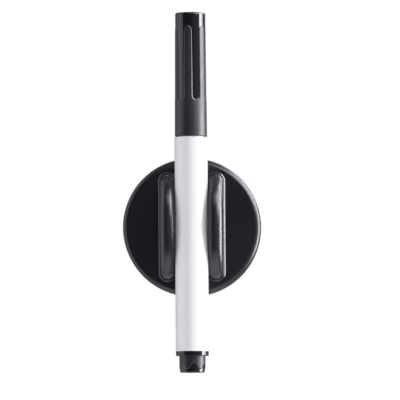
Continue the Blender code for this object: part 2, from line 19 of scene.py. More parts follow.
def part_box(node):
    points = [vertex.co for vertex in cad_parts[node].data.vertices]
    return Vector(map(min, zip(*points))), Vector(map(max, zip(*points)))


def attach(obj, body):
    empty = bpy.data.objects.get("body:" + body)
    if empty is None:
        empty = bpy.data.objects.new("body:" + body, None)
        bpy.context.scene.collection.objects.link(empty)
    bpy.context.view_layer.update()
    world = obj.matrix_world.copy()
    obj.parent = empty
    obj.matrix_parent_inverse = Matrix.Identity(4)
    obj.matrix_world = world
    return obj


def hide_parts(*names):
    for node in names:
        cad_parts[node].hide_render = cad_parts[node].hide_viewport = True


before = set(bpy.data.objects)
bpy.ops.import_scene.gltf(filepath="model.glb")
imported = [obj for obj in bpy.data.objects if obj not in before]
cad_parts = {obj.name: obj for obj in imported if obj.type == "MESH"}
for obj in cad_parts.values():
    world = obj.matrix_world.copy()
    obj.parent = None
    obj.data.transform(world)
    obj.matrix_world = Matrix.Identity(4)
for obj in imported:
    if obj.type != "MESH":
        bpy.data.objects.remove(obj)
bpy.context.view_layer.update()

LOG = logging.getLogger("marker")

MM = 0.001
WELD = 0.000001
TINY = 1e-6
SMOOTH_ANGLE = radians(38.0)
POLISH_MASK = "polish"
SKIN = "_skin"

# Point is a radius and a station. OverPiece gives a value at a radius, an angle and a station.
Point = tuple[float, float]
Triple = tuple[float, float, float]
Piece = bpy.types.Object
Socket = bpy.types.NodeSocket
OverPiece = Callable[[float, float, float], float]


class Body(Enum):
    """The rigid bodies that a piece can ride on."""

    HOLDER = "holder"
    MARKER = "marker"
    CAP = "cap"


class Slot(Enum):
    """The material slots."""

    GLOSS_BLACK = "gloss_black"
    SATIN_BLACK = "satin_black"
    RUBBER_BLACK = "rubber_black"
    PAD_GREY = "pad_grey"
    BARREL_WHITE = "barrel_white"
    SEAL_WHITE = "seal_white"
    FELT_BLACK = "felt_black"
    FIBRE_WHITE = "fibre_white"
    FILM_CLEAR = "film_clear"
    FERRITE = "ferrite"
    ZINC_STEEL = "zinc_steel"


class Mix(Enum):
    """What a Mix node blends, with the numbers of its two inputs and its output."""

    RGBA = (6, 7, 2)
    FLOAT = (2, 3, 0)


class Group(Enum):
    """The node groups that several finishes share."""

    GRAIN = "surface_grain"
    MARKS = "handling_marks"


# A modelled piece with its slot, its node and its finish.
Made = tuple[Piece, Slot, str, "Finish"]


@dataclass(frozen=True)
class Spindle:
    """A line that pieces are turned about, along Y or along Z.

    Attributes:
        height: how high a line along Y lies.
        upright: whether the line runs along Z through the origin instead.
    """

    height: float = 0.0
    upright: bool = False

    def at(self, station: float) -> Vector:
        """Give the point of the line at a station."""
        return Vector((0.0, 0.0, station)) if self.upright else Vector((0.0, station, self.height))

    def step(self, length: float) -> Vector:
        """Give a move of that length along the line."""
        return Vector((0.0, 0.0, length)) if self.upright else Vector((0.0, length, 0.0))

    def swell(self, factor: float) -> Vector:
        """Give the scale that changes radii and keeps stations."""
        return Vector((factor, factor, 1.0)) if self.upright else Vector((factor, 1.0, factor))

    def tilt(self) -> Triple:
        """Give the turn that lays a flat circle across the line."""
        return (0.0, 0.0, 0.0) if self.upright else (-pi / 2, 0.0, 0.0)

    def polar(self, place: Vector) -> Triple:
        """Give a point's radius, its angle from the viewer's side towards +X, and its station.

        Args:
            place: the point.

        Returns:
            The three in that order. About an upright line, the angle starts at +X.
        """
        if self.upright:
            return hypot(place.x, place.y), atan2(place.y, place.x), place.z
        up = place.z - self.height
        return hypot(place.x, up), atan2(place.x, up), place.y

    def place(self, radius: float, turn: float, station: float) -> Vector:
        """Give the point of a line along Y at a radius, an angle from the viewer's side and a station."""
        return Vector((radius * sin(turn), station, self.height + radius * cos(turn)))


BOARD_SPINDLE = Spindle(upright=True)


def round_corners(corners: list[Triple], steps: int = 5) -> list[Point]:
    """Round the corners of a profile.

    Args:
        corners: (radius, station, rounding) of each corner; a rounding of 0 keeps it sharp.
        steps: how many pieces each rounding is made of.

    Returns:
        The (radius, station) points of the rounded profile.
    """
    points: list[Point] = []
    for index, (radius, station, rounding) in enumerate(corners):
        corner = Vector((radius, station))
        if rounding <= 0.0 or index in (0, len(corners) - 1):
            points.append((radius, station))
            continue
        before = (Vector(corners[index - 1][:2]) - corner).normalized()
        after = (Vector(corners[index + 1][:2]) - corner).normalized()
        for step in range(steps + 1):
            share = step / steps
            start = corner + before * rounding * (1.0 - share)
            end = corner + after * rounding * share
            point = start.lerp(corner, share).lerp(corner.lerp(end, share), share)
            points.append((point.x, point.y))
    return points


class Bench:
    """The modelling moves that the pieces share."""

    @staticmethod
    def edit_mesh(piece: Piece) -> bmesh.types.BMesh:
        """Give the mesh that is open in edit mode."""
        return bmesh.from_edit_mesh(piece.data)

    @staticmethod
    def add_circle(name: str, radius: float, segments: int, station: float, spindle: Spindle,
                   filled: bool) -> Piece:
        """Add a circle across a spindle and open it in edit mode with its rim selected.

        Args:
            name: the piece's name.
            radius: the circle's radius.
            segments: how many points it has.
            station: where it lies along the spindle.
            spindle: the line it lies across.
            filled: whether it is closed by a fan.

        Returns:
            The new object.
        """
        bpy.ops.object.select_all(action="DESELECT")
        bpy.ops.mesh.primitive_circle_add(
            vertices=segments, radius=radius, fill_type="TRIFAN" if filled else "NOTHING",
            location=spindle.at(station), rotation=spindle.tilt())
        piece = bpy.context.object
        piece.name = name
        piece.data.name = name
        bpy.ops.object.transform_apply(location=True, rotation=True, scale=True)
        bpy.ops.object.mode_set(mode="EDIT")
        bpy.ops.mesh.select_mode(type="VERT")
        mesh = Bench.edit_mesh(piece)
        for vert in mesh.verts:
            vert.select_set(spindle.polar(vert.co)[0] > radius / 2)
        mesh.select_flush_mode()
        bmesh.update_edit_mesh(piece.data)
        return piece

    @staticmethod
    def extrude_ring(spindle: Spindle, before: Point, after: Point) -> None:
        """Extrude the selected ring from one (radius, station) to another.

        Args:
            spindle: the line that the ring lies across.
            before: the ring's radius and station.
            after: those of the new ring, where a radius of 0 closes it to a point.
        """
        bpy.ops.mesh.extrude_region_move(
            TRANSFORM_OT_translate={"value": spindle.step(after[1] - before[1])})
        if after[0] <= 0.0:
            bpy.ops.mesh.merge(type="CENTER")
        elif abs(after[0] - before[0]) > WELD / 10:
            bpy.ops.transform.resize(value=spindle.swell(after[0] / before[0]),
                                     center_override=spindle.at(after[1]))

    @staticmethod
    def turn(node: str, profile: list[Point], segments: int, spindle: Spindle) -> Piece:
        """Turn a profile about a spindle, ring by ring.

        Args:
            node: the node that the piece stands for.
            profile: (radius, station) points. It starts and ends on the spindle, or closes on itself.
            segments: how many points each ring has.
            spindle: the line that it is turned about.

        Returns:
            The new object, left open in edit mode.
        """
        filled = profile[0][0] <= 0.0
        rings = profile[1:] if filled else [*profile, profile[0]]
        piece = Bench.add_circle(node + SKIN, rings[0][0], segments, rings[0][1], spindle, filled)
        for before, after in zip(rings, rings[1:]):
            Bench.extrude_ring(spindle, before, after)
        if filled and abs(profile[0][1] - rings[0][1]) > WELD:
            mesh = Bench.edit_mesh(piece)
            for vert in mesh.verts:
                radius, _, station = spindle.polar(vert.co)
                if radius < WELD and abs(station - rings[0][1]) < WELD:
                    vert.co += spindle.step(profile[0][1] - rings[0][1])
            bmesh.update_edit_mesh(piece.data)
        return piece

    @staticmethod
    def lathe(node: str, profile: list[Point], segments: int, spindle: Spindle) -> Piece:
        """Turn a profile about a spindle and close the piece."""
        return Bench.close(Bench.turn(node, profile, segments, spindle))

    @staticmethod
    def sculpt(node: str, profile: list[Point], segments: int, spindle: Spindle, radius_at: OverPiece,
               polish: OverPiece) -> Piece:
        """Turn a profile about a line along Y, move its points in or out, and write its polish mask.

        Args:
            node: the node that the piece stands for.
            profile: (radius, station) points.
            segments: how many points each ring has.
            spindle: the line that it is turned about.
            radius_at: gives the new radius at a radius, an angle and a station.
            polish: gives the polish mask there, once the points are moved.

        Returns:
            The new piece.
        """
        piece = Bench.turn(node, profile, segments, spindle)
        mesh = Bench.edit_mesh(piece)
        for vert in mesh.verts:
            radius, turn, station = spindle.polar(vert.co)
            moved = radius_at(radius, turn, station)
            if moved != radius:
                vert.co = spindle.place(moved, turn, station)
        bmesh.update_edit_mesh(piece.data)
        Bench.close(piece)
        mask = piece.data.attributes.new(POLISH_MASK, "FLOAT", "POINT")
        for vert, entry in zip(piece.data.vertices, mask.data):
            entry.value = polish(*spindle.polar(vert.co))
        return piece

    @staticmethod
    def next_ring(mesh: bmesh.types.BMesh, ring: list[int]) -> list[int]:
        """Give the points that an extrusion drew out of a ring, in the ring's order.

        Args:
            mesh: the open mesh, with the new points selected.
            ring: the numbers of the ring's points.

        Returns:
            The numbers of the new points.
        """
        mesh.verts.ensure_lookup_table()
        mesh.verts.index_update()
        following = []
        for index in ring:
            vert = mesh.verts[index]
            others = [edge.other_vert(vert) for edge in vert.link_edges]
            following.append(next(other.index for other in others if other.select))
        return following

    @staticmethod
    def fill_ring(piece: Piece, ring: list[int]) -> None:
        """Close a ring of points with one face.

        Args:
            piece: the piece, open in edit mode.
            ring: the numbers of the ring's points.
        """
        bpy.ops.mesh.select_all(action="DESELECT")
        mesh = Bench.edit_mesh(piece)
        mesh.verts.ensure_lookup_table()
        for index in ring:
            mesh.verts[index].select_set(True)
        mesh.select_flush_mode()
        bmesh.update_edit_mesh(piece.data)
        bpy.ops.mesh.edge_face_add()

    @staticmethod
    def loft(name: str, loops: list[list[Vector]], lid: bool = False) -> Piece:
        """Extrude a closed loop through others of as many points, and fill the first.

        Args:
            name: the piece's name.
            loops: the points of each loop.
            lid: whether the last loop is filled too.

        Returns:
            The new object, left open in edit mode.
        """
        piece = Bench.add_circle(name, 1.0, len(loops[0]), 0.0, BOARD_SPINDLE, False)
        ring = first = list(range(len(loops[0])))
        for number, loop in enumerate(loops):
            if number:
                bpy.ops.mesh.extrude_region_move(TRANSFORM_OT_translate={"value": (0.0, 0.0, 0.0)})
            mesh = Bench.edit_mesh(piece)
            ring = Bench.next_ring(mesh, ring) if number else ring
            mesh.verts.ensure_lookup_table()
            for index, place in zip(ring, loop):
                mesh.verts[index].co = place
            bmesh.update_edit_mesh(piece.data)
        Bench.fill_ring(piece, first)
        if lid:
            Bench.fill_ring(piece, ring)
        return piece

    @staticmethod
    def cut(piece: Piece, tool: Piece) -> None:
        """Cut a piece by a tool, which is then removed.

        Args:
            piece: the piece.
            tool: the solid that is taken away from it.
        """
        modifier = piece.modifiers.new("cut", "BOOLEAN")
        modifier.operation = "DIFFERENCE"
        modifier.object = tool
        bpy.ops.object.select_all(action="DESELECT")
        piece.select_set(True)
        bpy.context.view_layer.objects.active = piece
        bpy.ops.object.modifier_apply(modifier=modifier.name)
        bpy.data.objects.remove(tool, do_unlink=True)

    @staticmethod
    def close(piece: Piece) -> Piece:
        """Merge doubles, point the faces outwards, leave edit mode and shade the piece smooth.

        Args:
            piece: the piece, open in edit mode.

        Returns:
            The same piece.
        """
        bpy.ops.mesh.select_all(action="SELECT")
        bpy.ops.mesh.remove_doubles(threshold=WELD)
        bpy.ops.mesh.normals_make_consistent(inside=False)
        bpy.ops.object.mode_set(mode="OBJECT")
        bpy.ops.object.shade_smooth_by_angle(angle=SMOOTH_ANGLE)
        return piece

    @staticmethod
    def seat(body: Body, made: list[Made]) -> None:
        """Dress pieces and let them ride on a body in place of their nodes.

        Args:
            body: the body.
            made: each piece with its slot, its node and its finish.
        """
        for piece, slot, node, finish in made:
            finish.dress(piece)
            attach(piece, body.value)
            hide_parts(node)
            LOG.info("%s rides on %s with %d faces", piece.name, body.value, len(piece.data.polygons))


@dataclass(frozen=True)
class Extent:
    """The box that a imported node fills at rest."""

    low: Vector
    high: Vector

    @classmethod
    def of(cls, node: str) -> "Extent":
        """Measure a node of the frame."""
        return cls(*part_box(node))

    @property
    def radius(self) -> float:
        """Half of the box's width along X."""
        return (self.high.x - self.low.x) / 2

    @property
    def middle(self) -> Vector:
        """The middle of the box."""
        return (self.low + self.high) / 2


def packed(node: str) -> Extent:
    """Give a dataclass field that measures a node of the frame when its owner is made."""
    return field(default_factory=lambda: Extent.of(node))


class Wiring:
    """A node tree that is being wired."""

    def __init__(self, tree: bpy.types.NodeTree) -> None:
        """Start on a tree."""
        self.tree = tree

    def feed(self, node: bpy.types.Node, inputs: dict[str | int, object]) -> None:
        """Feed each named or numbered input of a node from a socket or with a value.

        Args:
            node: the node.
            inputs: the socket or value of each input.
        """
        for key, value in inputs.items():
            if isinstance(value, Socket):
                self.tree.links.new(value, node.inputs[key])
            else:
                node.inputs[key].default_value = value

    def add(self, kind: str, inputs: dict[str | int, object] | None = None,
            **settings: object) -> bpy.types.Node:
        """Add a node.

        Args:
            kind: the node's type.
            inputs: for each named or numbered input, the socket that feeds it or its value.
            settings: the node's own properties.

        Returns:
            The new node.
        """
        node = self.tree.nodes.new(kind)
        for name, value in settings.items():
            setattr(node, name, value)
        self.feed(node, inputs or {})
        return node

    def math(self, operation: str, first: object, second: object) -> Socket:
        """Give the result of a Math node on two sockets or numbers."""
        return self.add("ShaderNodeMath", {0: first, 1: second}, operation=operation).outputs[0]

    def spread(self, factor: object, low: float, high: float) -> Socket:
        """Give a value that runs from low to high as the factor runs from 0 to 1."""
        node = self.add("ShaderNodeMapRange", {"Value": factor, "To Min": low, "To Max": high})
        return node.outputs["Result"]

    def threshold(self, value: Socket, limits: Point) -> Socket:
        """Give a smooth step from 0 to 1 between two limits of a value.

        Args:
            value: the socket that is measured.
            limits: where the step starts and ends.

        Returns:
            The socket of the step.
        """
        node = self.add("ShaderNodeMapRange", {"Value": value, "From Min": limits[0], "From Max": limits[1]},
                        interpolation_type="SMOOTHSTEP")
        return node.outputs["Result"]

    def blend(self, factor: Socket, first: object, second: object, kind: Mix = Mix.RGBA) -> Socket:
        """Give a colour or number that runs from the first to the second as the factor runs from 0 to 1.

        Args:
            factor: the socket of the factor.
            first: what a factor of 0 gives.
            second: what a factor of 1 gives.
            kind: what is blended.

        Returns:
            The socket of the blend.
        """
        start, end, result = kind.value
        mix = self.add("ShaderNodeMix", {"Factor": factor, start: first, end: second}, data_type=kind.name)
        return mix.outputs[result]


class SurfaceGroups:
    """The makers of the node groups, each of which is made once."""

    GRAIN = {"Detail": 3.0, "Roughness": 0.6}
    DRIFT = {"Detail": 2.0}
    DRIFT_SCALE = 0.04
    SMUDGE = {"Detail": 4.0, "Distortion": 0.6}
    SMUDGE_LIMITS = (0.45, 0.72)
    LINE = {"Scale": 1.0, "Detail": 1.0}
    LINE_PLACE = {"Rotation": (0.2, 0.3, 0.5), "Scale": (9000.0, 260.0, 9000.0)}
    LINE_LIMITS = (0.66, 0.74)

    _made: dict[Group, bpy.types.NodeTree] = {}

    @classmethod
    def get(cls, group: Group) -> bpy.types.NodeTree:
        """Give a group's tree, made on its first use.

        Args:
            group: the group.

        Returns:
            The group's tree.
        """
        if group not in cls._made:
            make = cls._make_grain if group is Group.GRAIN else cls._make_marks
            cls._made[group] = make(group.value)
        return cls._made[group]

    @staticmethod
    def _start(name: str, inputs: dict[str, str], outputs: tuple[str, ...]) -> Wiring:
        """Start a group with its sockets, one float output for each name.

        Args:
            name: the group's name.
            inputs: the type of each input.
            outputs: the names of the outputs.

        Returns:
            The group's tree, ready to be wired.
        """
        tree = bpy.data.node_groups.new(name, "ShaderNodeTree")
        for socket, kind in inputs.items():
            tree.interface.new_socket(socket, in_out="INPUT", socket_type=kind)
        for socket in outputs:
            tree.interface.new_socket(socket, in_out="OUTPUT", socket_type="NodeSocketFloat")
        return Wiring(tree)

    @classmethod
    def _make_grain(cls, name: str) -> bpy.types.NodeTree:
        """Make the fine relief of a moulded or fibrous surface, and the slow drift of its tone.

        Args:
            name: the group's name.

        Returns:
            The group's tree.
        """
        wiring = cls._start(name, {"Scale": "NodeSocketFloat", "Stretch": "NodeSocketVector"},
                            ("Height", "Drift"))
        given = wiring.add("NodeGroupInput").outputs
        place = wiring.add("ShaderNodeTexCoord").outputs["Object"]
        stretched = wiring.add("ShaderNodeVectorMath", {0: place, 1: given["Stretch"]},
                               operation="MULTIPLY").outputs[0]
        fine = wiring.add("ShaderNodeTexNoise", {"Vector": stretched, "Scale": given["Scale"], **cls.GRAIN})
        wide = wiring.math("MULTIPLY", given["Scale"], cls.DRIFT_SCALE)
        slow = wiring.add("ShaderNodeTexNoise", {"Vector": stretched, "Scale": wide, **cls.DRIFT})
        wiring.add("NodeGroupOutput", {"Height": fine.outputs["Fac"], "Drift": slow.outputs["Fac"]})
        return wiring.tree

    @classmethod
    def _make_marks(cls, name: str) -> bpy.types.NodeTree:
        """Make the smudges and hairlines that hands and boards leave on a plastic.

        Args:
            name: the group's name.

        Returns:
            The group's tree.
        """
        wiring = cls._start(name, {"Smudge Scale": "NodeSocketFloat", "Hairlines": "NodeSocketFloat"},
                            ("Mask",))
        given = wiring.add("NodeGroupInput").outputs
        place = wiring.add("ShaderNodeTexCoord").outputs["Object"]
        smudge = wiring.add("ShaderNodeTexNoise",
                            {"Vector": place, "Scale": given["Smudge Scale"], **cls.SMUDGE})
        soft = wiring.threshold(smudge.outputs["Fac"], cls.SMUDGE_LIMITS)
        turned = wiring.add("ShaderNodeMapping", {"Vector": place, **cls.LINE_PLACE})
        line = wiring.add("ShaderNodeTexNoise", {"Vector": turned.outputs[0], **cls.LINE})
        thin = wiring.threshold(line.outputs["Fac"], cls.LINE_LIMITS)
        lines = wiring.math("MULTIPLY", thin, given["Hairlines"])
        wiring.add("NodeGroupOutput", {"Mask": wiring.math("MAXIMUM", soft, lines)})
        return wiring.tree


@dataclass(frozen=True)
class Finish:
    """A surface of one stuff, with its grain, its drift of tone and its handling marks.

    Attributes:
        name: the material's name.
        colour: its colour.
        drift: how far the tone drifts, as a share of the colour.
        roughness: how rough it is where it is clean.
        smudge: how much rougher it is where it was handled.
        grain: how many grains there are in a metre.
        relief: how high the grain stands.
        stretch: how the grain is drawn out along X, Y and Z.
        smudge_scale: how many smudges there are in a metre.
        hairlines: how strong the hairlines are, from 0 to 1.
        ior: how strongly it mirrors, as a refractive index.
        metallic: 1 for a metal.
        transmission: the share of light that passes through.
        sheen: the soft edge light of a fibrous surface.
    """

    name: str
    colour: Triple
    drift: float = 0.1
    roughness: float = 0.4
    smudge: float = 0.06
    grain: float = 3500.0
    relief: float = 0.003 * MM
    stretch: Triple = (1.0, 1.0, 1.0)
    smudge_scale: float = 60.0
    hairlines: float = 0.0
    ior: float = 1.5
    metallic: float = 0.0
    transmission: float = 0.0
    sheen: float = 0.0

    def shade_colour(self, wiring: Wiring, drift: Socket) -> Socket:
        """Give the colour, drifting between a darker and a lighter tone.

        Args:
            wiring: the material's tree.
            drift: the socket of the drift, from 0 to 1.

        Returns:
            The socket of the colour.
        """
        darker = (*(part * (1.0 - self.drift) for part in self.colour), 1.0)
        lighter = (*(min(1.0, part * (1.0 + self.drift)) for part in self.colour), 1.0)
        return wiring.blend(drift, darker, lighter)

    def wire(self, wiring: Wiring) -> dict[str, Socket]:
        """Wire what varies over the surface.

        Args:
            wiring: the material's tree.

        Returns:
            The sockets for colour, roughness and relief height, by name.
        """
        grain = wiring.add("ShaderNodeGroup", {"Scale": self.grain, "Stretch": self.stretch},
                           node_tree=SurfaceGroups.get(Group.GRAIN))
        marks = wiring.add("ShaderNodeGroup",
                           {"Smudge Scale": self.smudge_scale, "Hairlines": self.hairlines},
                           node_tree=SurfaceGroups.get(Group.MARKS))
        return {
            "colour": self.shade_colour(wiring, grain.outputs["Drift"]),
            "roughness": wiring.spread(marks.outputs["Mask"], self.roughness,
                                       min(1.0, self.roughness + self.smudge)),
            "height": grain.outputs["Height"],
        }

    def material(self) -> bpy.types.Material:
        """Make the material.

        Returns:
            A new material on a Principled shader.
        """
        material = bpy.data.materials.new(self.name)
        material.use_nodes = True
        wiring = Wiring(material.node_tree)
        parts = self.wire(wiring)
        bump = wiring.add("ShaderNodeBump", {"Height": parts["height"], "Distance": self.relief})
        wiring.feed(wiring.tree.nodes["Principled BSDF"], {
            "Base Color": parts["colour"], "Roughness": parts["roughness"], "Normal": bump.outputs["Normal"],
            "IOR": self.ior, "Metallic": self.metallic, "Transmission Weight": self.transmission,
            "Sheen Weight": self.sheen})
        return material

    def dress(self, piece: Piece) -> None:
        """Give a piece this finish and no other."""
        piece.data.materials.clear()
        piece.data.materials.append(bpy.data.materials.get(self.name) or self.material())


@dataclass(frozen=True)
class PolishedFinish(Finish):
    """A satin surface that is polished where the piece's polish mask is 1.

    Attributes:
        polished: the roughness of the polished part.
        polished_colour: the colour of the polished part.
    """

    polished: float = 0.06
    polished_colour: Triple = (0.006, 0.006, 0.008)

    def wire(self, wiring: Wiring) -> dict[str, Socket]:
        """Wire what varies, and let the polish mask smooth the satin part.

        Args:
            wiring: the material's tree.

        Returns:
            The sockets for colour, roughness and relief height, by name.
        """
        parts = super().wire(wiring)
        mask = wiring.add("ShaderNodeAttribute", attribute_name=POLISH_MASK).outputs["Fac"]
        colour = wiring.blend(mask, parts["colour"], (*self.polished_colour, 1.0))
        roughness = wiring.blend(mask, parts["roughness"], self.polished, Mix.FLOAT)
        satin = wiring.math("SUBTRACT", 1.0, mask)
        return {"colour": colour, "roughness": roughness,
                "height": wiring.math("MULTIPLY", parts["height"], satin)}


class Finishes:
    """The finishes of the marker and its holder."""

    DISC = Finish("disc_black", (0.005, 0.006, 0.011), roughness=0.3, smudge=0.05, grain=1500.0,
                  relief=0.0015 * MM, ior=1.6)
    RUBBER = Finish("jaw_rubber", (0.012, 0.012, 0.017), roughness=0.27, smudge=0.05, grain=2600.0,
                    relief=0.006 * MM, ior=1.6)
    PAD = Finish("pad_foam", (0.045, 0.045, 0.048), drift=0.25, roughness=0.9, grain=2200.0,
                 relief=0.05 * MM)
    BARREL = Finish("barrel_white", (0.80, 0.78, 0.80), drift=0.012, roughness=0.22, smudge=0.05,
                    grain=900.0, relief=0.0015 * MM, hairlines=0.3)
    PLUG = PolishedFinish("plug_satin", (0.012, 0.012, 0.017), roughness=0.4, grain=3200.0,
                          relief=0.004 * MM, ior=1.6, polished=0.16)
    CAP = PolishedFinish("cap_satin", (0.012, 0.012, 0.017), roughness=0.4, grain=3200.0,
                         relief=0.005 * MM, ior=1.6)
    PLATE = Finish("plate_satin", (0.020, 0.020, 0.023), roughness=0.45)
    NATURAL = Finish("natural_plastic", (0.75, 0.75, 0.72), drift=0.03, roughness=0.35, grain=1800.0)
    FELT = Finish("inked_felt", (0.010, 0.010, 0.013), drift=0.5, roughness=0.85, grain=5200.0,
                  relief=0.04 * MM, stretch=(1.0, 0.12, 1.0), sheen=0.15)
    FIBRE = Finish("bonded_fibre", (0.55, 0.55, 0.57), drift=0.2, roughness=0.9, grain=4200.0,
                   relief=0.05 * MM, stretch=(1.0, 0.05, 1.0), sheen=0.2)
    FILM = Finish("clear_film", (0.80, 0.82, 0.84), drift=0.03, roughness=0.12, grain=700.0,
                  transmission=0.8)
    FERRITE = Finish("ground_ferrite", (0.055, 0.052, 0.050), drift=0.3, roughness=0.6, grain=5000.0,
                     relief=0.01 * MM, hairlines=0.6)
    STEEL = Finish("zinc_steel", (0.55, 0.56, 0.58), drift=0.12, roughness=0.28, grain=2400.0,
                   relief=0.002 * MM, metallic=1.0, hairlines=0.5)


def ease(value: float, start: float, end: float) -> float:
    """Give a smooth step from 0 at start to 1 at end."""
    share = min(1.0, max(0.0, (value - start) / (end - start)))
    return share * share * (3.0 - 2.0 * share)


def quarter(centre: Point, radius: float, start: float, end: float, steps: int) -> list[Point]:
    """Give the points of an arc in a profile.

    Args:
        centre: the arc's centre.
        radius: its radius.
        start: the angle that it starts at, in degrees from the direction away from the spindle.
        end: the angle that it ends at.
        steps: how many pieces it is made of.

    Returns:
        The (radius, station) points.
    """
    turns = [radians(start + (end - start) * step / steps) for step in range(steps + 1)]
    return [(centre[0] + radius * cos(turn), centre[1] + radius * sin(turn)) for turn in turns]


def outside_oval(across: float, along: float, half_width: float, half_length: float) -> float:
    """Estimate how far a point lies outside an oval.

    Args:
        across: the point's place across the oval.
        along: its place along the oval.
        half_width: half the oval's width.
        half_length: half its length.

    Returns:
        The distance from the oval's edge, below 0 inside it.
    """
    ratio = max(TINY, hypot(across / half_width, along / half_length))
    slope = max(TINY, hypot(across / half_width ** 2, along / half_length ** 2))
    return (ratio - 1.0) * ratio / slope


def stations(start: float, end: float, pitch: float) -> list[float]:
    """Give evenly spaced stations from one place to just before another."""
    count = max(1, round(abs(end - start) / pitch))
    return [start + (end - start) * index / count for index in range(count)]


@dataclass
class Holder:
    """The round disc that sits on the board, with its two jaws, its magnet and its pad.

    Attributes:
        spindle: the marker's axis, which the jaws hug.
        barrel_radius: the radius of the barrel between the jaws.
        cover, jaw, pad, plate, steel, magnet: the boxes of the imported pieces.
        face_ring: where a ring lies on the cover's flat top, as a share of its radius.
        plinth_chamfer: how far the plinth's edge runs in, and how far it drops.
        fillet_levels: the share of the wall's height and of the fillet's width at each loop of the fillet.
        wall_levels: the share of the wall's height at each loop above the fillet.
    """

    spindle: Spindle
    barrel_radius: float
    cover: Extent = packed("holder_cover")
    jaw: Extent = packed("jaw_right")
    pad: Extent = packed("base_pad")
    plate: Extent = packed("back_plate")
    steel: Extent = packed("steel_cup")
    magnet: Extent = packed("magnet")
    segments: int = 256
    shoulder: float = 2.3 * MM
    shoulder_steps: int = 18
    back_edge: float = 0.5 * MM
    back_steps: int = 5
    rim_width: float = 2.0 * MM
    face_ring: float = 0.9
    face_thickness: float = 1.6 * MM
    slot_gap: float = 0.12 * MM
    slot_margin: float = 1.0 * MM
    flange_reach: float = 0.7 * MM
    flange_thickness: float = 0.8 * MM
    plinth_height: float = 1.2 * MM
    plinth_chamfer: Point = (0.5 * MM, 0.435 * MM)
    plinth_round: float = 0.12 * MM
    plinth_steps: int = 4
    fin_ledge: float = 0.8 * MM
    fin_fillet: float = 0.25 * MM
    lip_reach: float = 0.3 * MM
    cradle_gap: float = 0.12 * MM
    crest_fullness: float = 0.6
    fillet_levels: tuple[Point, ...] = ((0.012, 0.55), (0.035, 0.2))
    wall_levels: tuple[float, ...] = (0.08, 0.2, 0.3, 0.4, 0.5, 0.6, 0.7, 0.8, 0.9)
    loop_points: int = 96
    dome_loops: int = 22
    plate_thickness: float = 1.0 * MM
    rib_width: float = 1.2 * MM
    rib_gap: float = 0.3 * MM
    steel_thickness: float = 0.9 * MM
    small_edge: float = 0.2 * MM

    def __post_init__(self) -> None:
        """Work out the places that the jaws' loops need."""
        self.top = self.cover.high.z
        self.fin_foot = self.top + self.plinth_height
        self.jaw_centre = self.jaw.middle.x
        self.root_width = self.jaw.radius - self.flange_reach
        self.root_length = (self.jaw.high.y - self.jaw.low.y) / 2 - self.flange_reach
        fin_outer = self.jaw_centre + self.root_width - self.fin_ledge
        fin_inner = self.barrel_radius - self.lip_reach
        self.fin_centre = (fin_outer + fin_inner) / 2
        self.fin_width = (fin_outer - fin_inner) / 2
        self.fin_length = self.root_length - self.fin_ledge
        self.crest = self.jaw.high.z - self.fin_foot
        self.shares = [sin(pi * (index / self.loop_points - 0.5)) for index in range(self.loop_points + 1)]

    def loop(self, place: Callable[[float, int], Vector]) -> list[Vector]:
        """Run round a jaw, up its outer side and back down its inner side.

        Args:
            place: gives the point at a share of the length, from -1 to 1, on the outer side, 1, or
                the inner side, -1.

        Returns:
            The points of the loop.
        """
        outer = [place(share, 1) for share in self.shares]
        inner = [place(share, -1) for share in reversed(self.shares[1:-1])]
        return outer + inner

    @staticmethod
    def half_width(share: float, width: float, length: float) -> float:
        """Give half the width, at a share of the length, of an outline with round ends."""
        past = max(0.0, abs(share) * length - (length - width)) / width
        return width * sqrt(max(0.0, 1.0 - past * past))

    @staticmethod
    def on_side(loop: list[Vector], side: int) -> list[Vector]:
        """Give a loop of the jaw at +X, or its mirror image for the side -1."""
        return [Vector((side * point.x, point.y, point.z)) for point in loop]

    def stadium(self, swell: float, height: float) -> list[Vector]:
        """Give the loop of a jaw's root, swollen by a margin, at a height.

        Args:
            swell: how far the loop stands out from the root.
            height: how high it lies.

        Returns:
            The points of the loop.
        """
        width = self.root_width + swell
        length = self.root_length + swell

        def place(share: float, side: int) -> Vector:
            """Give a point on the outline with round ends."""
            half = self.half_width(share, width, length)
            return Vector((self.jaw_centre + side * half, share * length, height))

        return self.loop(place)

    def fin(self, wall: float, lift: float, swell: float = 0.0) -> list[Vector]:
        """Give one loop of a jaw's fin.

        Args:
            wall: the share of the wall's height, from 0 at its foot to 1 where the dome starts.
            lift: the angle up the dome, from 0 where it starts to a quarter turn along its crest.
            swell: how far the loop stands out from the fin, for the fillet at its foot.

        Returns:
            The points of the loop, clear of the barrel.
        """
        width = self.fin_width + swell
        length = self.fin_length + swell

        def place(share: float, side: int) -> Vector:
            """Give a point of the fin, pushed out of the barrel's cradle.

            Args:
                share: the share of the fin's length, from -1 to 1.
                side: 1 on the outer side, -1 on the inner.

            Returns:
                The point.
            """
            half = self.half_width(share, width, length)
            crest = self.crest * (1.0 - share * share) ** self.crest_fullness
            dome = min(half, crest)
            height = self.fin_foot + (crest - dome) * wall + dome * sin(lift)
            point = Vector((self.fin_centre + side * half * cos(lift), share * length, height))
            radius, turn, station = self.spindle.polar(point)
            return self.spindle.place(max(radius, self.barrel_radius + self.cradle_gap), turn, station)

        return self.loop(place)

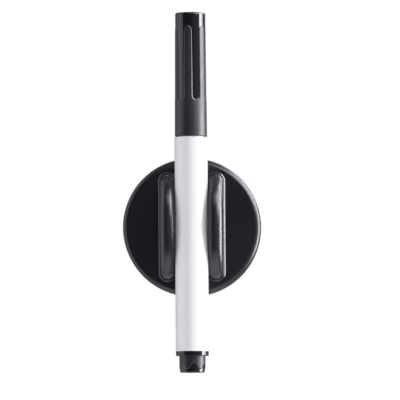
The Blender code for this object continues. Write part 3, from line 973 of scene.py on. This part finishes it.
    def make_jaw(self, node: str, side: int) -> Piece:
        """Model one jaw: its flange behind the cover, its plinth and its arched fin.

        Args:
            node: the node that the jaw stands for.
            side: 1 for the jaw at +X, -1 for the jaw at -X.

        Returns:
            The jaw.
        """
        foot = self.jaw.low.z
        flange_top = foot + self.flange_thickness
        loops = [self.stadium(self.flange_reach, foot), self.stadium(self.flange_reach, flange_top),
                 self.stadium(0.0, flange_top)]
        run, drop = self.plinth_chamfer
        edge = round_corners([(0.0, flange_top, 0.0), (0.0, self.fin_foot - drop, self.plinth_round),
                              (-run, self.fin_foot, self.plinth_round),
                              (self.fin_fillet - self.fin_ledge, self.fin_foot, 0.0)], self.plinth_steps)
        loops += [self.stadium(swell, height) for swell, height in edge[1:]]
        loops += [self.fin(wall, 0.0, share * self.fin_fillet) for wall, share in self.fillet_levels]
        loops += [self.fin(wall, 0.0) for wall in self.wall_levels]
        loops += [self.fin(1.0, pi / 2 * step / self.dome_loops) for step in range(self.dome_loops + 1)]
        return Bench.close(Bench.loft(node + SKIN, [self.on_side(loop, side) for loop in loops]))

    def make_cover(self) -> Piece:
        """Model the moulded disc, with a slot for each jaw.

        Returns:
            The cover.
        """
        radius = self.cover.radius
        foot = self.cover.low.z
        bore = radius - self.rim_width
        flat = radius - self.shoulder
        face = self.top - self.face_thickness
        back = (radius - self.back_edge, foot + self.back_edge)
        profile = [(0.0, self.top), (flat * self.face_ring, self.top), (flat - self.small_edge, self.top),
                   *quarter((flat, self.top - self.shoulder), self.shoulder, 90.0, 0.0, self.shoulder_steps),
                   *quarter(back, self.back_edge, 0.0, -90.0, self.back_steps),
                   (bore, foot), (bore, face), (0.0, face)]
        cover = Bench.lathe("holder_cover", profile, self.segments, BOARD_SPINDLE)
        for side in (-1, 1):
            slot = [self.on_side(self.stadium(self.slot_gap, height), side)
                    for height in (face - self.slot_margin, self.top + self.slot_margin)]
            Bench.cut(cover, Bench.close(Bench.loft("slot_tool", slot, lid=True)))
        bpy.ops.object.shade_smooth_by_angle(angle=SMOOTH_ANGLE)
        return cover

    def disc_corners(self, box: Extent) -> list[Triple]:
        """Give the corners of a plain disc that fills a box.

        Args:
            box: the box.

        Returns:
            (radius, station, rounding) of each corner.
        """
        edge = self.small_edge
        return [(0.0, box.high.z, 0.0), (box.radius, box.high.z, edge), (box.radius, box.low.z, edge),
                (0.0, box.low.z, 0.0)]

    def cup_corners(self) -> list[Triple]:
        """Give the corners of the steel cup, whose mouth faces the board.

        Returns:
            (radius, station, rounding) of each corner.
        """
        edge = self.small_edge
        outer = self.steel.radius
        inner = outer - self.steel_thickness
        roof = self.steel.high.z
        floor = roof - self.steel_thickness
        mouth = self.steel.low.z
        return [(0.0, roof, 0.0), (outer, roof, 2 * edge), (outer, mouth, edge / 2), (inner, mouth, edge / 2),
                (inner, floor, edge), (0.0, floor, 0.0)]

    def plate_corners(self) -> list[Triple]:
        """Give the corners of the back plate, with the rib that holds the steel cup.

        Returns:
            (radius, station, rounding) of each corner.
        """
        edge = self.small_edge
        rib_inner = self.steel.radius + self.rib_gap
        rib_outer = rib_inner + self.rib_width
        rib_top = self.plate.high.z
        foot = self.plate.low.z
        top = foot + self.plate_thickness
        return [(0.0, top, 0.0), (rib_inner, top, edge / 2), (rib_inner, rib_top, edge / 2),
                (rib_outer, rib_top, edge / 2), (rib_outer, top, edge / 2), (self.plate.radius, top, edge),
                (self.plate.radius, foot, edge), (0.0, foot, 0.0)]

    def make_hidden(self) -> list[Made]:
        """Model the pad, the magnet, the steel cup and the plate.

        Returns:
            Each piece with its slot, its node and its finish.
        """
        parts = [("base_pad", self.disc_corners(self.pad), Slot.PAD_GREY, Finishes.PAD),
                 ("magnet", self.disc_corners(self.magnet), Slot.FERRITE, Finishes.FERRITE),
                 ("steel_cup", self.cup_corners(), Slot.ZINC_STEEL, Finishes.STEEL),
                 ("back_plate", self.plate_corners(), Slot.SATIN_BLACK, Finishes.PLATE)]
        return [(Bench.lathe(node, round_corners(corners), self.segments, BOARD_SPINDLE), slot, node, finish)
                for node, corners, slot, finish in parts]

    def build(self) -> None:
        """Model, dress and seat the holder's pieces."""
        seen = [(self.make_cover(), Slot.GLOSS_BLACK, "holder_cover", Finishes.DISC),
                (self.make_jaw("jaw_left", -1), Slot.RUBBER_BLACK, "jaw_left", Finishes.RUBBER),
                (self.make_jaw("jaw_right", 1), Slot.RUBBER_BLACK, "jaw_right", Finishes.RUBBER)]
        Bench.seat(Body.HOLDER, seen + self.make_hidden())


@dataclass
class Marker:
    """The barrel with all that it holds: nib, nib holder, ink reservoir and tail plug.

    Attributes:
        barrel, plug, nose, nib, reservoir, film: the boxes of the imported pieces.
        arch_turn: the angle of an arch's middle from the viewer's side towards +X.
        arch_fullness: the power of the arches' bell curve, where more makes them slimmer.
        arch_probe: the angle over which the slope of the arches' edge is measured.
        dome_shares: the rings of the plug's domed end, as shares of its radius.
    """

    barrel: Extent = packed("barrel")
    plug: Extent = packed("tail_plug")
    nose: Extent = packed("nib_holder")
    nib: Extent = packed("nib")
    reservoir: Extent = packed("ink_reservoir")
    film: Extent = packed("reservoir_film")
    segments: int = 192
    plug_segments: int = 288
    fit: float = 0.3 * MM
    wall: float = 1.1 * MM
    front_wall: float = 1.5 * MM
    neck_length: float = 10.0 * MM
    neck_radius: float = 4.9 * MM
    neck_wall: float = 1.0 * MM
    neck_foot_round: float = 0.15 * MM
    nose_flange: float = 1.0 * MM
    nose_sleeve: float = 8.0 * MM
    nose_step: float = 1.32 * MM
    nose_lip: float = 0.5 * MM
    nib_flat: float = 0.6 * MM
    nib_steps: int = 10
    film_wall: float = 0.3 * MM
    edge: float = 0.3 * MM
    edge_steps: int = 8
    plug_wall: float = 1.1 * MM
    rear_edge: float = 0.08 * MM
    seat_gap: float = 0.03 * MM
    flange_inset: float = 0.06 * MM
    flange_thickness: float = 1.4 * MM
    flange_straight: float = 0.8 * MM
    flange_lean: float = 0.07 * MM
    flange_round: float = 0.35 * MM
    grip_radius: float = 4.95 * MM
    grip_taper: float = 0.05 * MM
    plug_floor: float = 1.6 * MM
    arch_count: int = 6
    arch_turn: float = radians(9.0)
    arch_height: float = 2.15 * MM
    arch_fullness: float = 1.15
    arch_depth: float = 0.22 * MM
    arch_edge: float = 0.25 * MM
    arch_foot: float = 1.6 * MM
    arch_probe: float = radians(0.5)
    end_edge: float = 0.3 * MM
    end_dome: float = 0.15 * MM
    dome_shares: tuple[float, ...] = (0.9, 0.6, 0.3, 0.0)
    fine_pitch: float = 0.09 * MM
    grip_pitch: float = 0.36 * MM

    def __post_init__(self) -> None:
        """Work out the marker's axis, the shoulder that the cap meets and where the plug's grip starts."""
        self.spindle = Spindle(self.barrel.middle.z)
        self.radius = self.barrel.radius
        self.bore = self.radius - self.wall
        self.shoulder = self.barrel.high.y - self.neck_length
        self.grip_top = self.barrel.low.y - self.fit - self.flange_thickness

    def make_barrel(self) -> Piece:
        """Model the tube with its stepped neck.

        Returns:
            The barrel.
        """
        neck_bore = self.neck_radius - self.neck_wall
        front = self.shoulder - self.front_wall
        rear = self.barrel.low.y
        profile = round_corners([
            (neck_bore, self.barrel.high.y, 0.0), (self.neck_radius, self.barrel.high.y, self.edge),
            (self.neck_radius, self.shoulder, self.neck_foot_round), (self.radius, self.shoulder, self.edge),
            (self.radius, rear, self.rear_edge), (self.bore, rear, self.edge / 2), (self.bore, front, 0.0),
            (neck_bore, front, 0.0)])
        return Bench.lathe("barrel", profile, self.segments, self.spindle)

    def plug_radius(self, station: float) -> float:
        """Give the raised radius of the plug's grip at a station."""
        share = (station - self.plug.low.y) / (self.grip_top - self.plug.low.y)
        return self.grip_radius - self.grip_taper * (1.0 - share)

    def arch_line(self, turn: float) -> float:
        """Give the station of the arches' edge at an angle."""
        bell = (0.5 + 0.5 * cos(self.arch_count * (turn - self.arch_turn))) ** self.arch_fullness
        return self.plug.low.y + self.arch_foot + self.arch_height * bell

    def into_arch(self, turn: float, station: float) -> float:
        """Give the share of the arches' depth that is reached at a place.

        Args:
            turn: the angle from the viewer's side towards +X.
            station: the place along the marker.

        Returns:
            The share, from 0 on the satin part to 1 on the sunk part.
        """
        reach = self.arch_probe * self.grip_radius
        rise = self.arch_line(turn + self.arch_probe) - self.arch_line(turn - self.arch_probe)
        slope = rise / (2 * reach)
        return ease((self.arch_line(turn) - station) / hypot(1.0, slope), 0.0, self.arch_edge)

    def plug_polish(self, radius: float, turn: float, station: float) -> float:
        """Give how polished the plug is at a place: on its flange and below its arches.

        Args:
            radius: the radius of the place.
            turn: the angle from the viewer's side towards +X.
            station: the place along the marker.

        Returns:
            The polish, from 0 for satin to 1.
        """
        if station > self.grip_top - self.edge:
            return ease(radius, self.grip_radius, self.grip_radius + self.edge)
        return self.into_arch(turn, station)

    def sunk_radius(self, radius: float, turn: float, station: float) -> float:
        """Give the radius of a place on the plug, less where it lies on the grip below an arch.

        Args:
            radius: the radius of the place.
            turn: the angle from the viewer's side towards +X.
            station: the place along the marker.

        Returns:
            The radius that the place is moved to.
        """
        if station >= self.grip_top - self.edge or radius <= self.plug_radius(station) - WELD:
            return radius
        return radius - self.arch_depth * self.into_arch(turn, station)

    def make_plug(self) -> Piece:
        """Model the plug: a hollow stem, a flange and a grip with bell-shaped arches.

        Returns:
            The plug, with its polish mask.
        """
        end = self.plug.low.y
        flange_top = self.barrel.low.y - self.seat_gap
        stem = self.bore - self.fit
        stem_bore = stem - self.plug_wall
        flange = self.radius - self.flange_inset
        arch_top = end + self.arch_foot + self.arch_height + self.arch_edge
        round_foot = end + self.end_dome + self.end_edge
        end_radius = self.plug_radius(end) - self.arch_depth
        grip = [(self.plug_radius(place), place)
                for place in (*stations(self.grip_top - self.edge, arch_top, self.grip_pitch),
                              *stations(arch_top, round_foot, self.fine_pitch))]
        upper = round_corners([
            (0.0, end + self.plug_floor, 0.0), (stem_bore, end + self.plug_floor, self.edge),
            (stem_bore, self.plug.high.y, self.edge / 2), (stem, self.plug.high.y, self.edge / 2),
            (stem, flange_top, 0.0), (flange, flange_top, self.rear_edge),
            (flange, flange_top - self.flange_straight, 0.0),
            (flange - self.flange_lean, self.grip_top, self.flange_round),
            (self.plug_radius(self.grip_top), self.grip_top, self.edge / 2),
            grip[0] + (0.0,)], self.edge_steps)
        flat = end_radius - self.end_edge
        lower = quarter((flat, round_foot), self.end_edge, 0.0, -90.0, self.edge_steps)
        lower += [(share * flat, end + self.end_dome * share ** 2) for share in self.dome_shares]
        return Bench.sculpt("tail_plug", upper + grip[1:] + lower, self.plug_segments, self.spindle,
                            self.sunk_radius, self.plug_polish)

    def make_nib_holder(self) -> Piece:
        """Model the front piece that sits in the neck and grips the nib.

        Returns:
            The nib holder.
        """
        bore = self.nib.radius + self.fit
        stem = self.neck_radius - self.neck_wall - self.fit
        flange_foot = self.barrel.high.y + self.fit
        flange_top = flange_foot + self.nose_flange
        cone_foot = flange_top + self.nose_sleeve
        flange = self.nose.radius
        sleeve = flange - self.nose_step
        profile = round_corners([
            (bore, self.nose.high.y, 0.0), (bore + self.nose_lip, self.nose.high.y, self.edge / 2),
            (sleeve, cone_foot, self.edge * 2), (sleeve, flange_top, self.edge),
            (flange, flange_top, self.edge / 2), (flange, flange_foot, self.edge / 2),
            (stem, flange_foot, 0.0), (stem, self.nose.low.y, self.edge), (bore, self.nose.low.y, 0.0)])
        return Bench.lathe("nib_holder", profile, self.segments, self.spindle)

    def make_nib(self) -> Piece:
        """Model the bullet nib, with its rounded tip.

        Returns:
            The nib.
        """
        radius = self.nib.radius
        tip = self.nib.high.y
        flat = self.nib_flat
        dome = quarter((flat, tip - radius + flat), radius - flat, 90.0, 0.0, self.nib_steps)
        profile = [(0.0, tip), *dome, (radius, self.nib.low.y + self.edge),
                   (radius - self.edge, self.nib.low.y), (0.0, self.nib.low.y)]
        return Bench.lathe("nib", profile, self.segments // 2, self.spindle)

    def make_reservoir(self) -> Piece:
        """Model the fibre rod with the hole for the nib.

        Returns:
            The reservoir.
        """
        hole = self.nib.radius + self.fit
        floor = self.nib.low.y - self.fit
        outer = self.reservoir.radius
        front = self.reservoir.high.y
        rear = self.reservoir.low.y
        profile = round_corners([
            (0.0, floor, 0.0), (hole, floor, 0.0), (hole, front, self.edge), (outer, front, self.edge),
            (outer, rear, self.edge), (0.0, rear, 0.0)])
        return Bench.lathe("ink_reservoir", profile, self.segments // 2, self.spindle)

    def make_film(self) -> Piece:
        """Model the film sleeve round the reservoir.

        Returns:
            The film.
        """
        outer = self.film.radius
        inner = outer - self.film_wall
        profile = round_corners([
            (inner, self.film.high.y, 0.0), (outer, self.film.high.y, self.edge / 4),
            (outer, self.film.low.y, self.edge / 4), (inner, self.film.low.y, 0.0)])
        return Bench.lathe("reservoir_film", profile, self.segments // 2, self.spindle)

    def build(self) -> None:
        """Model, dress and seat the marker's pieces."""
        Bench.seat(Body.MARKER, [
            (self.make_barrel(), Slot.BARREL_WHITE, "barrel", Finishes.BARREL),
            (self.make_plug(), Slot.SATIN_BLACK, "tail_plug", Finishes.PLUG),
            (self.make_nib_holder(), Slot.SEAL_WHITE, "nib_holder", Finishes.NATURAL),
            (self.make_nib(), Slot.FELT_BLACK, "nib", Finishes.FELT),
            (self.make_reservoir(), Slot.FIBRE_WHITE, "ink_reservoir", Finishes.FIBRE),
            (self.make_film(), Slot.FILM_CLEAR, "reservoir_film", Finishes.FILM)])


@dataclass
class Cap:
    """The fluted cap and the seal inside it.

    Attributes:
        spindle: the marker's axis.
        bore: the radius of the mouth, which slides over the barrel's neck.
        shell, seal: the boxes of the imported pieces.
        flute_turn: the angle of a flute's middle from the viewer's side towards +X.
        flute_slope: how far a flute's wall runs for each unit that it sinks.
        polish_start: the share of a flute's wall that stays satin.
        dome_shares: the rings of the domed end, as shares of its radius.
    """

    spindle: Spindle
    bore: float
    shell: Extent = packed("cap_shell")
    seal: Extent = packed("cap_seal")
    segments: int = 540
    mouth_wall: float = 0.88 * MM
    mouth_edge: float = 0.15 * MM
    taper: float = 0.3 * MM
    end_wall: float = 1.4 * MM
    end_edge: float = 0.65 * MM
    end_dome: float = 0.2 * MM
    end_steps: int = 8
    dome_shares: tuple[float, ...] = (0.0, 0.35, 0.7, 0.9)
    seal_wall: float = 0.7 * MM
    seal_end_wall: float = 1.2 * MM
    seal_edge: float = 0.2 * MM
    seal_segments: int = 96
    fit: float = 0.3 * MM
    flute_count: int = 6
    flute_turn: float = radians(21.4)
    flute_width: float = 3.45 * MM
    flute_slope: float = 1.6
    polish_start: float = 0.5
    foot_above_mouth: float = 13.3 * MM
    foot_round: float = 1.6 * MM
    finger_below_end: float = 5.4 * MM
    finger_round: float = 2.5 * MM
    finger_step: float = 0.09 * MM
    fine_pitch: float = 0.09 * MM
    coarse_pitch: float = 1.4 * MM
    row_margin: float = 0.6 * MM

    def __post_init__(self) -> None:
        """Work out the flutes' outline."""
        self.mouth = self.shell.low.y
        self.end = self.shell.high.y
        self.wall_top = self.end - self.end_dome - self.end_edge
        self.mouth_radius = self.bore + self.mouth_wall
        self.core = self.mouth_radius - self.taper - self.finger_step
        self.half_pitch = (self.mouth_radius - self.taper) * pi / self.flute_count
        self.flute_half = self.flute_width / 2
        self.finger_half = self.half_pitch - self.flute_half
        self.foot_centre = self.mouth + self.foot_above_mouth + self.foot_round
        self.top_centre = self.end - self.finger_below_end - self.finger_round

    def raised_radius(self, station: float) -> float:
        """Give the radius of the satin part at a station."""
        return self.mouth_radius - self.taper * (station - self.mouth) / (self.end - self.mouth)

    def into_flute(self, turn: float, station: float) -> float:
        """Measure how far a place lies inside the polished part.

        Args:
            turn: the angle from the viewer's side towards +X.
            station: the place along the cap.

        Returns:
            The distance from the edge of the flute or the finger, below 0 on the satin part.
        """
        pitch = 2 * pi / self.flute_count
        offset = (turn - self.flute_turn + pitch / 2) % pitch - pitch / 2
        across = abs(offset) * self.half_pitch / (pitch / 2)
        if station < self.foot_centre:
            return -outside_oval(across, station - self.foot_centre, self.flute_half, self.foot_round)
        if station > self.top_centre:
            return outside_oval(self.half_pitch - across, station - self.top_centre, self.finger_half,
                                self.finger_round)
        return self.flute_half - across

    def flute_share(self, turn: float, station: float, start: float = 0.0) -> float:
        """Give the share of the way down a flute's wall.

        Args:
            turn: the angle from the viewer's side towards +X.
            station: the place along the cap.
            start: the share of the wall's width that is left at 0.

        Returns:
            The share, from 0 on the satin part to 1 on the flute's floor.
        """
        width = self.flute_slope * (self.raised_radius(station) - self.core)
        return ease(self.into_flute(turn, station), start * width, width)

    def shell_polish(self, radius: float, turn: float, station: float) -> float:
        """Give how polished the cap is at a place: in its flutes and round its end."""
        outside = radius > self.seal.radius + self.fit + WELD
        return self.flute_share(turn, station, self.polish_start) if outside else 0.0

    def sunk_radius(self, radius: float, turn: float, station: float) -> float:
        """Give the radius of a place on the cap, less where it lies in a flute or round the end.

        Args:
            radius: the radius of the place.
            turn: the angle from the viewer's side towards +X.
            station: the place along the marker.

        Returns:
            The radius that the place is moved to.
        """
        if radius <= self.raised_radius(station) - WELD or station >= self.wall_top + WELD:
            return radius
        return radius + (self.core - radius) * self.flute_share(turn, station)

    def wall_stations(self) -> list[float]:
        """Give the rows of the outer wall, from the end to the mouth, close at the round outlines.

        Returns:
            The stations of the rows.
        """
        foot = self.mouth + self.mouth_edge
        margin = self.row_margin
        finger = self.end - self.finger_below_end + margin
        straight_top = self.top_centre - margin
        straight_foot = self.foot_centre + margin
        flute_foot = self.foot_centre - self.foot_round - margin
        return [*stations(self.wall_top, finger, self.coarse_pitch),
                *stations(finger, straight_top, self.fine_pitch),
                *stations(straight_top, straight_foot, self.coarse_pitch),
                *stations(straight_foot, flute_foot, self.fine_pitch),
                *stations(flute_foot, foot, self.coarse_pitch), foot]

    def make_shell(self) -> Piece:
        """Model the cap: a turned shell whose outer wall sinks into the flutes.

        Returns:
            The cap, with its polish mask.
        """
        upper_bore = self.seal.radius + self.fit
        inner_bore = self.seal.radius - self.seal_wall
        inner_end = self.end - self.end_wall
        seat = self.seal.high.y + self.fit
        flat = self.core - self.end_edge
        dome = [(share * flat, self.end - self.end_dome * share ** 2) for share in self.dome_shares]
        dome += quarter((flat, self.wall_top), self.end_edge, 90.0, 0.0, self.end_steps)[:-1]
        wall = [(self.raised_radius(place), place) for place in self.wall_stations()]
        mouth = round_corners([wall[-1] + (0.0,), (self.mouth_radius, self.mouth, self.mouth_edge),
                               (self.bore, self.mouth, self.mouth_edge), (self.bore, self.seal.low.y, 0.0),
                               (upper_bore, self.seal.low.y, 0.0), (upper_bore, seat, 0.0),
                               (inner_bore, seat, 0.0), (inner_bore, inner_end, 0.0), (0.0, inner_end, 0.0)])
        return Bench.sculpt("cap_shell", dome + wall + mouth[1:], self.segments, self.spindle,
                            self.sunk_radius, self.shell_polish)

    def make_seal(self) -> Piece:
        """Model the thimble that closes round the nib holder.

        Returns:
            The seal.
        """
        radius = self.seal.radius
        inner = radius - self.seal_wall
        floor = self.seal.high.y - self.seal_end_wall
        edge = self.seal_edge
        profile = round_corners([
            (0.0, self.seal.high.y, 0.0), (radius, self.seal.high.y, edge), (radius, self.seal.low.y, edge),
            (inner, self.seal.low.y, edge), (inner, floor, edge), (0.0, floor, 0.0)])
        return Bench.lathe("cap_seal", profile, self.seal_segments, self.spindle)

    def build(self) -> None:
        """Model, dress and seat the cap's pieces."""
        Bench.seat(Body.CAP, [(self.make_shell(), Slot.SATIN_BLACK, "cap_shell", Finishes.CAP),
                              (self.make_seal(), Slot.SEAL_WHITE, "cap_seal", Finishes.NATURAL)])


@dataclass(frozen=True)
class Softbox:
    """A flat rectangular lamp.

    Attributes:
        name: the lamp's name.
        place: its middle.
        aim: the point that it faces.
        width: its size along the horizontal.
        height: its size across that.
        radiance: how bright its face is, where 1 is white.
        mirrored: whether it shows in reflections.
        lighting: whether it lights dull surfaces.
        tint: its colour.
    """

    name: str
    place: Triple
    aim: Triple
    width: float
    height: float
    radiance: float
    mirrored: bool = True
    lighting: bool = True
    tint: Triple = (1.0, 1.0, 1.0)

    def add(self) -> Piece:
        """Add the lamp.

        Returns:
            The lamp's object.
        """
        bpy.ops.object.select_all(action="DESELECT")
        bpy.ops.object.light_add(type="AREA", location=self.place)
        lamp = bpy.context.object
        lamp.name = self.name
        lamp.data.shape = "RECTANGLE"
        lamp.data.size = self.width
        lamp.data.size_y = self.height
        lamp.data.energy = self.radiance * pi * self.width * self.height
        lamp.data.color = self.tint
        lamp.rotation_mode = "QUATERNION"
        lamp.rotation_quaternion = (Vector(self.aim) - Vector(self.place)).to_track_quat("-Z", "Y")
        lamp.visible_camera = False
        lamp.visible_glossy = self.mirrored
        lamp.visible_diffuse = self.lighting
        return lamp


@dataclass
class Studio:
    """The pale floor, the lamps and the camera.

    Attributes:
        target: the point at the middle of the picture.
        lean_right: the camera's angle from straight above towards +X.
        lean_down: its angle from straight above towards -Y.
        roll: how far the camera leans clockwise.
        distance: how far away it stands.
        frame_width: the width of the picture at the target.
        floor_white: how bright the floor looks where no lamp reaches it.
        floor_catch: how strongly the floor shows light and shadow to the eye.
        floor_pale: how much light the floor gives back to the pieces.
        floor_polish: how much of a mirror the floor is where another mirror shows it.
        world_glow: how bright the ceiling is at the left and at the right.
        world_white: the heights, as sines, between which white gives way to the ceiling.
    """

    target: Vector = field(default_factory=lambda: Vector((3.252 * MM, 9.83 * MM, 15.7 * MM)))
    lean_right: float = radians(1.0)
    lean_down: float = radians(3.0)
    roll: float = radians(0.373)
    distance: float = 3.0
    frame_width: float = 150.8 * MM
    clip_end: float = 100.0
    floor_size: float = 12.0
    floor_drop: float = 0.02 * MM
    floor_white: float = 0.93
    floor_catch: float = 0.12
    floor_pale: float = 0.8
    floor_polish: float = 0.85
    floor_roughness: float = 0.1
    world_glow: tuple[float, float] = (0.05, 0.5)
    world_white: tuple[float, float] = (sin(radians(6.0)), sin(radians(10.0)))
    lamps: tuple[Softbox, ...] = (
        Softbox("key_box", (0.55, 0.275, 0.089), (0.0, 0.275, 0.089), 1.05, 0.147, 16.5, lighting=False,
                tint=(0.98, 0.98, 1.03)),
        Softbox("key_light", (0.55, -0.15, 0.089), (0.0, -0.15, 0.089), 1.2, 0.147, 10.8, mirrored=False),
        Softbox("upper_card", (0.40, 0.37, 0.36), (0.0, 0.0, 0.0), 0.42, 0.24, 9.5, lighting=False,
                tint=(0.92, 0.94, 1.08)),
        Softbox("left_card", (-0.4, 0.0, 0.146), (0.0, 0.0, 0.146), 1.0, 0.26, 0.95,
                tint=(0.96, 0.96, 1.05)),
        Softbox("back_card", (0.02, 0.25, 0.24), (0.0, 0.0, 0.0), 0.2, 0.11, 2.4, lighting=False,
                tint=(0.92, 0.94, 1.1)),
        Softbox("low_card", (0.0, -0.5, 0.26), (0.0, 0.0, 0.0), 0.7, 0.42, 1.25, lighting=False,
                tint=(0.86, 0.94, 1.16)),
        Softbox("right_fill", (0.5, -0.45, 0.35), (0.0, 0.0, 0.0), 0.5, 0.3, 2.2, mirrored=False),
        Softbox("side_fill", (-0.5, 0.0, 0.2), (0.0, 0.0, 0.0), 0.8, 0.3, 0.5, mirrored=False),
        Softbox("front_fill", (0.0, 0.0, 1.6), (0.0, 0.0, 0.0), 0.9, 0.9, 5.2, mirrored=False),
    )

    def add_camera(self) -> None:
        """Add the camera at the picture's viewing angle."""
        bpy.ops.object.select_all(action="DESELECT")
        back = Vector((tan(self.lean_right), -tan(self.lean_down), 1.0)).normalized()
        right = Vector((0.0, 1.0, 0.0)).cross(back).normalized()
        bpy.ops.object.camera_add(location=self.target + back * self.distance)
        camera = bpy.context.object
        camera.name = "picture_camera"
        camera.data.lens = camera.data.sensor_width * self.distance / self.frame_width
        camera.rotation_mode = "QUATERNION"
        upright = Matrix((right, back.cross(right), back)).transposed().to_quaternion()
        camera.rotation_quaternion = upright @ Quaternion((0.0, 0.0, 1.0), -self.roll)
        camera.data.clip_end = self.clip_end
        bpy.context.scene.camera = camera

    @staticmethod
    def seen(wiring: Wiring) -> Socket:
        """Give 1 for what the eye sees, straight, mirrored or through a clear piece.

        Args:
            wiring: the tree that asks.

        Returns:
            The socket of that 1 or 0.
        """
        path = wiring.add("ShaderNodeLightPath").outputs
        mirrored = wiring.math("MAXIMUM", path["Is Glossy Ray"], path["Is Transmission Ray"])
        return wiring.math("MAXIMUM", path["Is Camera Ray"], mirrored)

    def add_world(self) -> None:
        """Make the world white low down to the eye, under a ceiling that glows faintly at the right."""
        world = bpy.context.scene.world or bpy.data.worlds.new("studio")
        bpy.context.scene.world = world
        world.use_nodes = True
        wiring = Wiring(world.node_tree)
        world.node_tree.nodes.clear()
        heading = wiring.add("ShaderNodeTexCoord").outputs["Generated"]
        parts = wiring.add("ShaderNodeSeparateXYZ", {"Vector": heading}).outputs
        low = wiring.add("ShaderNodeMapRange", {"Value": parts["Z"], "From Min": self.world_white[1],
                                                "From Max": self.world_white[0]})
        white = wiring.math("MULTIPLY", self.seen(wiring), low.outputs[0])
        glow = wiring.spread(parts["X"], *self.world_glow)
        background = wiring.add("ShaderNodeBackground", {"Strength": wiring.math("MAXIMUM", white, glow)})
        wiring.add("ShaderNodeOutputWorld", {"Surface": background.outputs[0]})

    def floor_material(self) -> bpy.types.Material:
        """Make the floor: white to the eye with a faint shadow, polished in mirrors, pale to the light.

        Returns:
            The floor's material.
        """
        material = bpy.data.materials.new("studio_floor")
        material.use_nodes = True
        material.node_tree.nodes.clear()
        wiring = Wiring(material.node_tree)
        white = wiring.add("ShaderNodeEmission", {"Strength": self.floor_white})
        catch, pale = [wiring.add("ShaderNodeBsdfDiffuse", {"Color": (tone, tone, tone, 1.0)})
                       for tone in (self.floor_catch, self.floor_pale)]
        ground = wiring.add("ShaderNodeAddShader", {0: white.outputs[0], 1: catch.outputs[0]})
        mirrored = wiring.add("ShaderNodeLightPath").outputs["Is Glossy Ray"]
        polish = wiring.add("ShaderNodeBsdfGlossy", {"Roughness": self.floor_roughness})
        shown = wiring.add("ShaderNodeMixShader", {0: wiring.math("MULTIPLY", mirrored, self.floor_polish),
                                                   1: ground.outputs[0], 2: polish.outputs[0]})
        whole = wiring.add("ShaderNodeMixShader", {0: self.seen(wiring), 1: pale.outputs[0],
                                                   2: shown.outputs[0]})
        wiring.add("ShaderNodeOutputMaterial", {"Surface": whole.outputs[0]})
        return material

    def add_floor(self) -> None:
        """Lay the floor just under the pad."""
        bpy.ops.object.select_all(action="DESELECT")
        bpy.ops.mesh.primitive_plane_add(size=self.floor_size, location=(0.0, 0.0, -self.floor_drop))
        floor = bpy.context.object
        floor.name = "studio_floor"
        floor.data.materials.append(self.floor_material())

    def build(self) -> None:
        """Set up the studio."""
        bpy.context.scene.view_settings.view_transform = "Standard"
        self.add_floor()
        self.add_world()
        for lamp in self.lamps:
            lamp.add()
        self.add_camera()


def main() -> None:
    """Build the holder, the marker and its cap, then the studio round them."""
    logging.basicConfig(level=logging.INFO, format="%(message)s")
    marker = Marker()
    marker.build()
    Holder(marker.spindle, marker.radius).build()
    Cap(marker.spindle, marker.neck_radius + marker.fit).build()
    Studio().build()


if __name__ == "__main__":
    main()
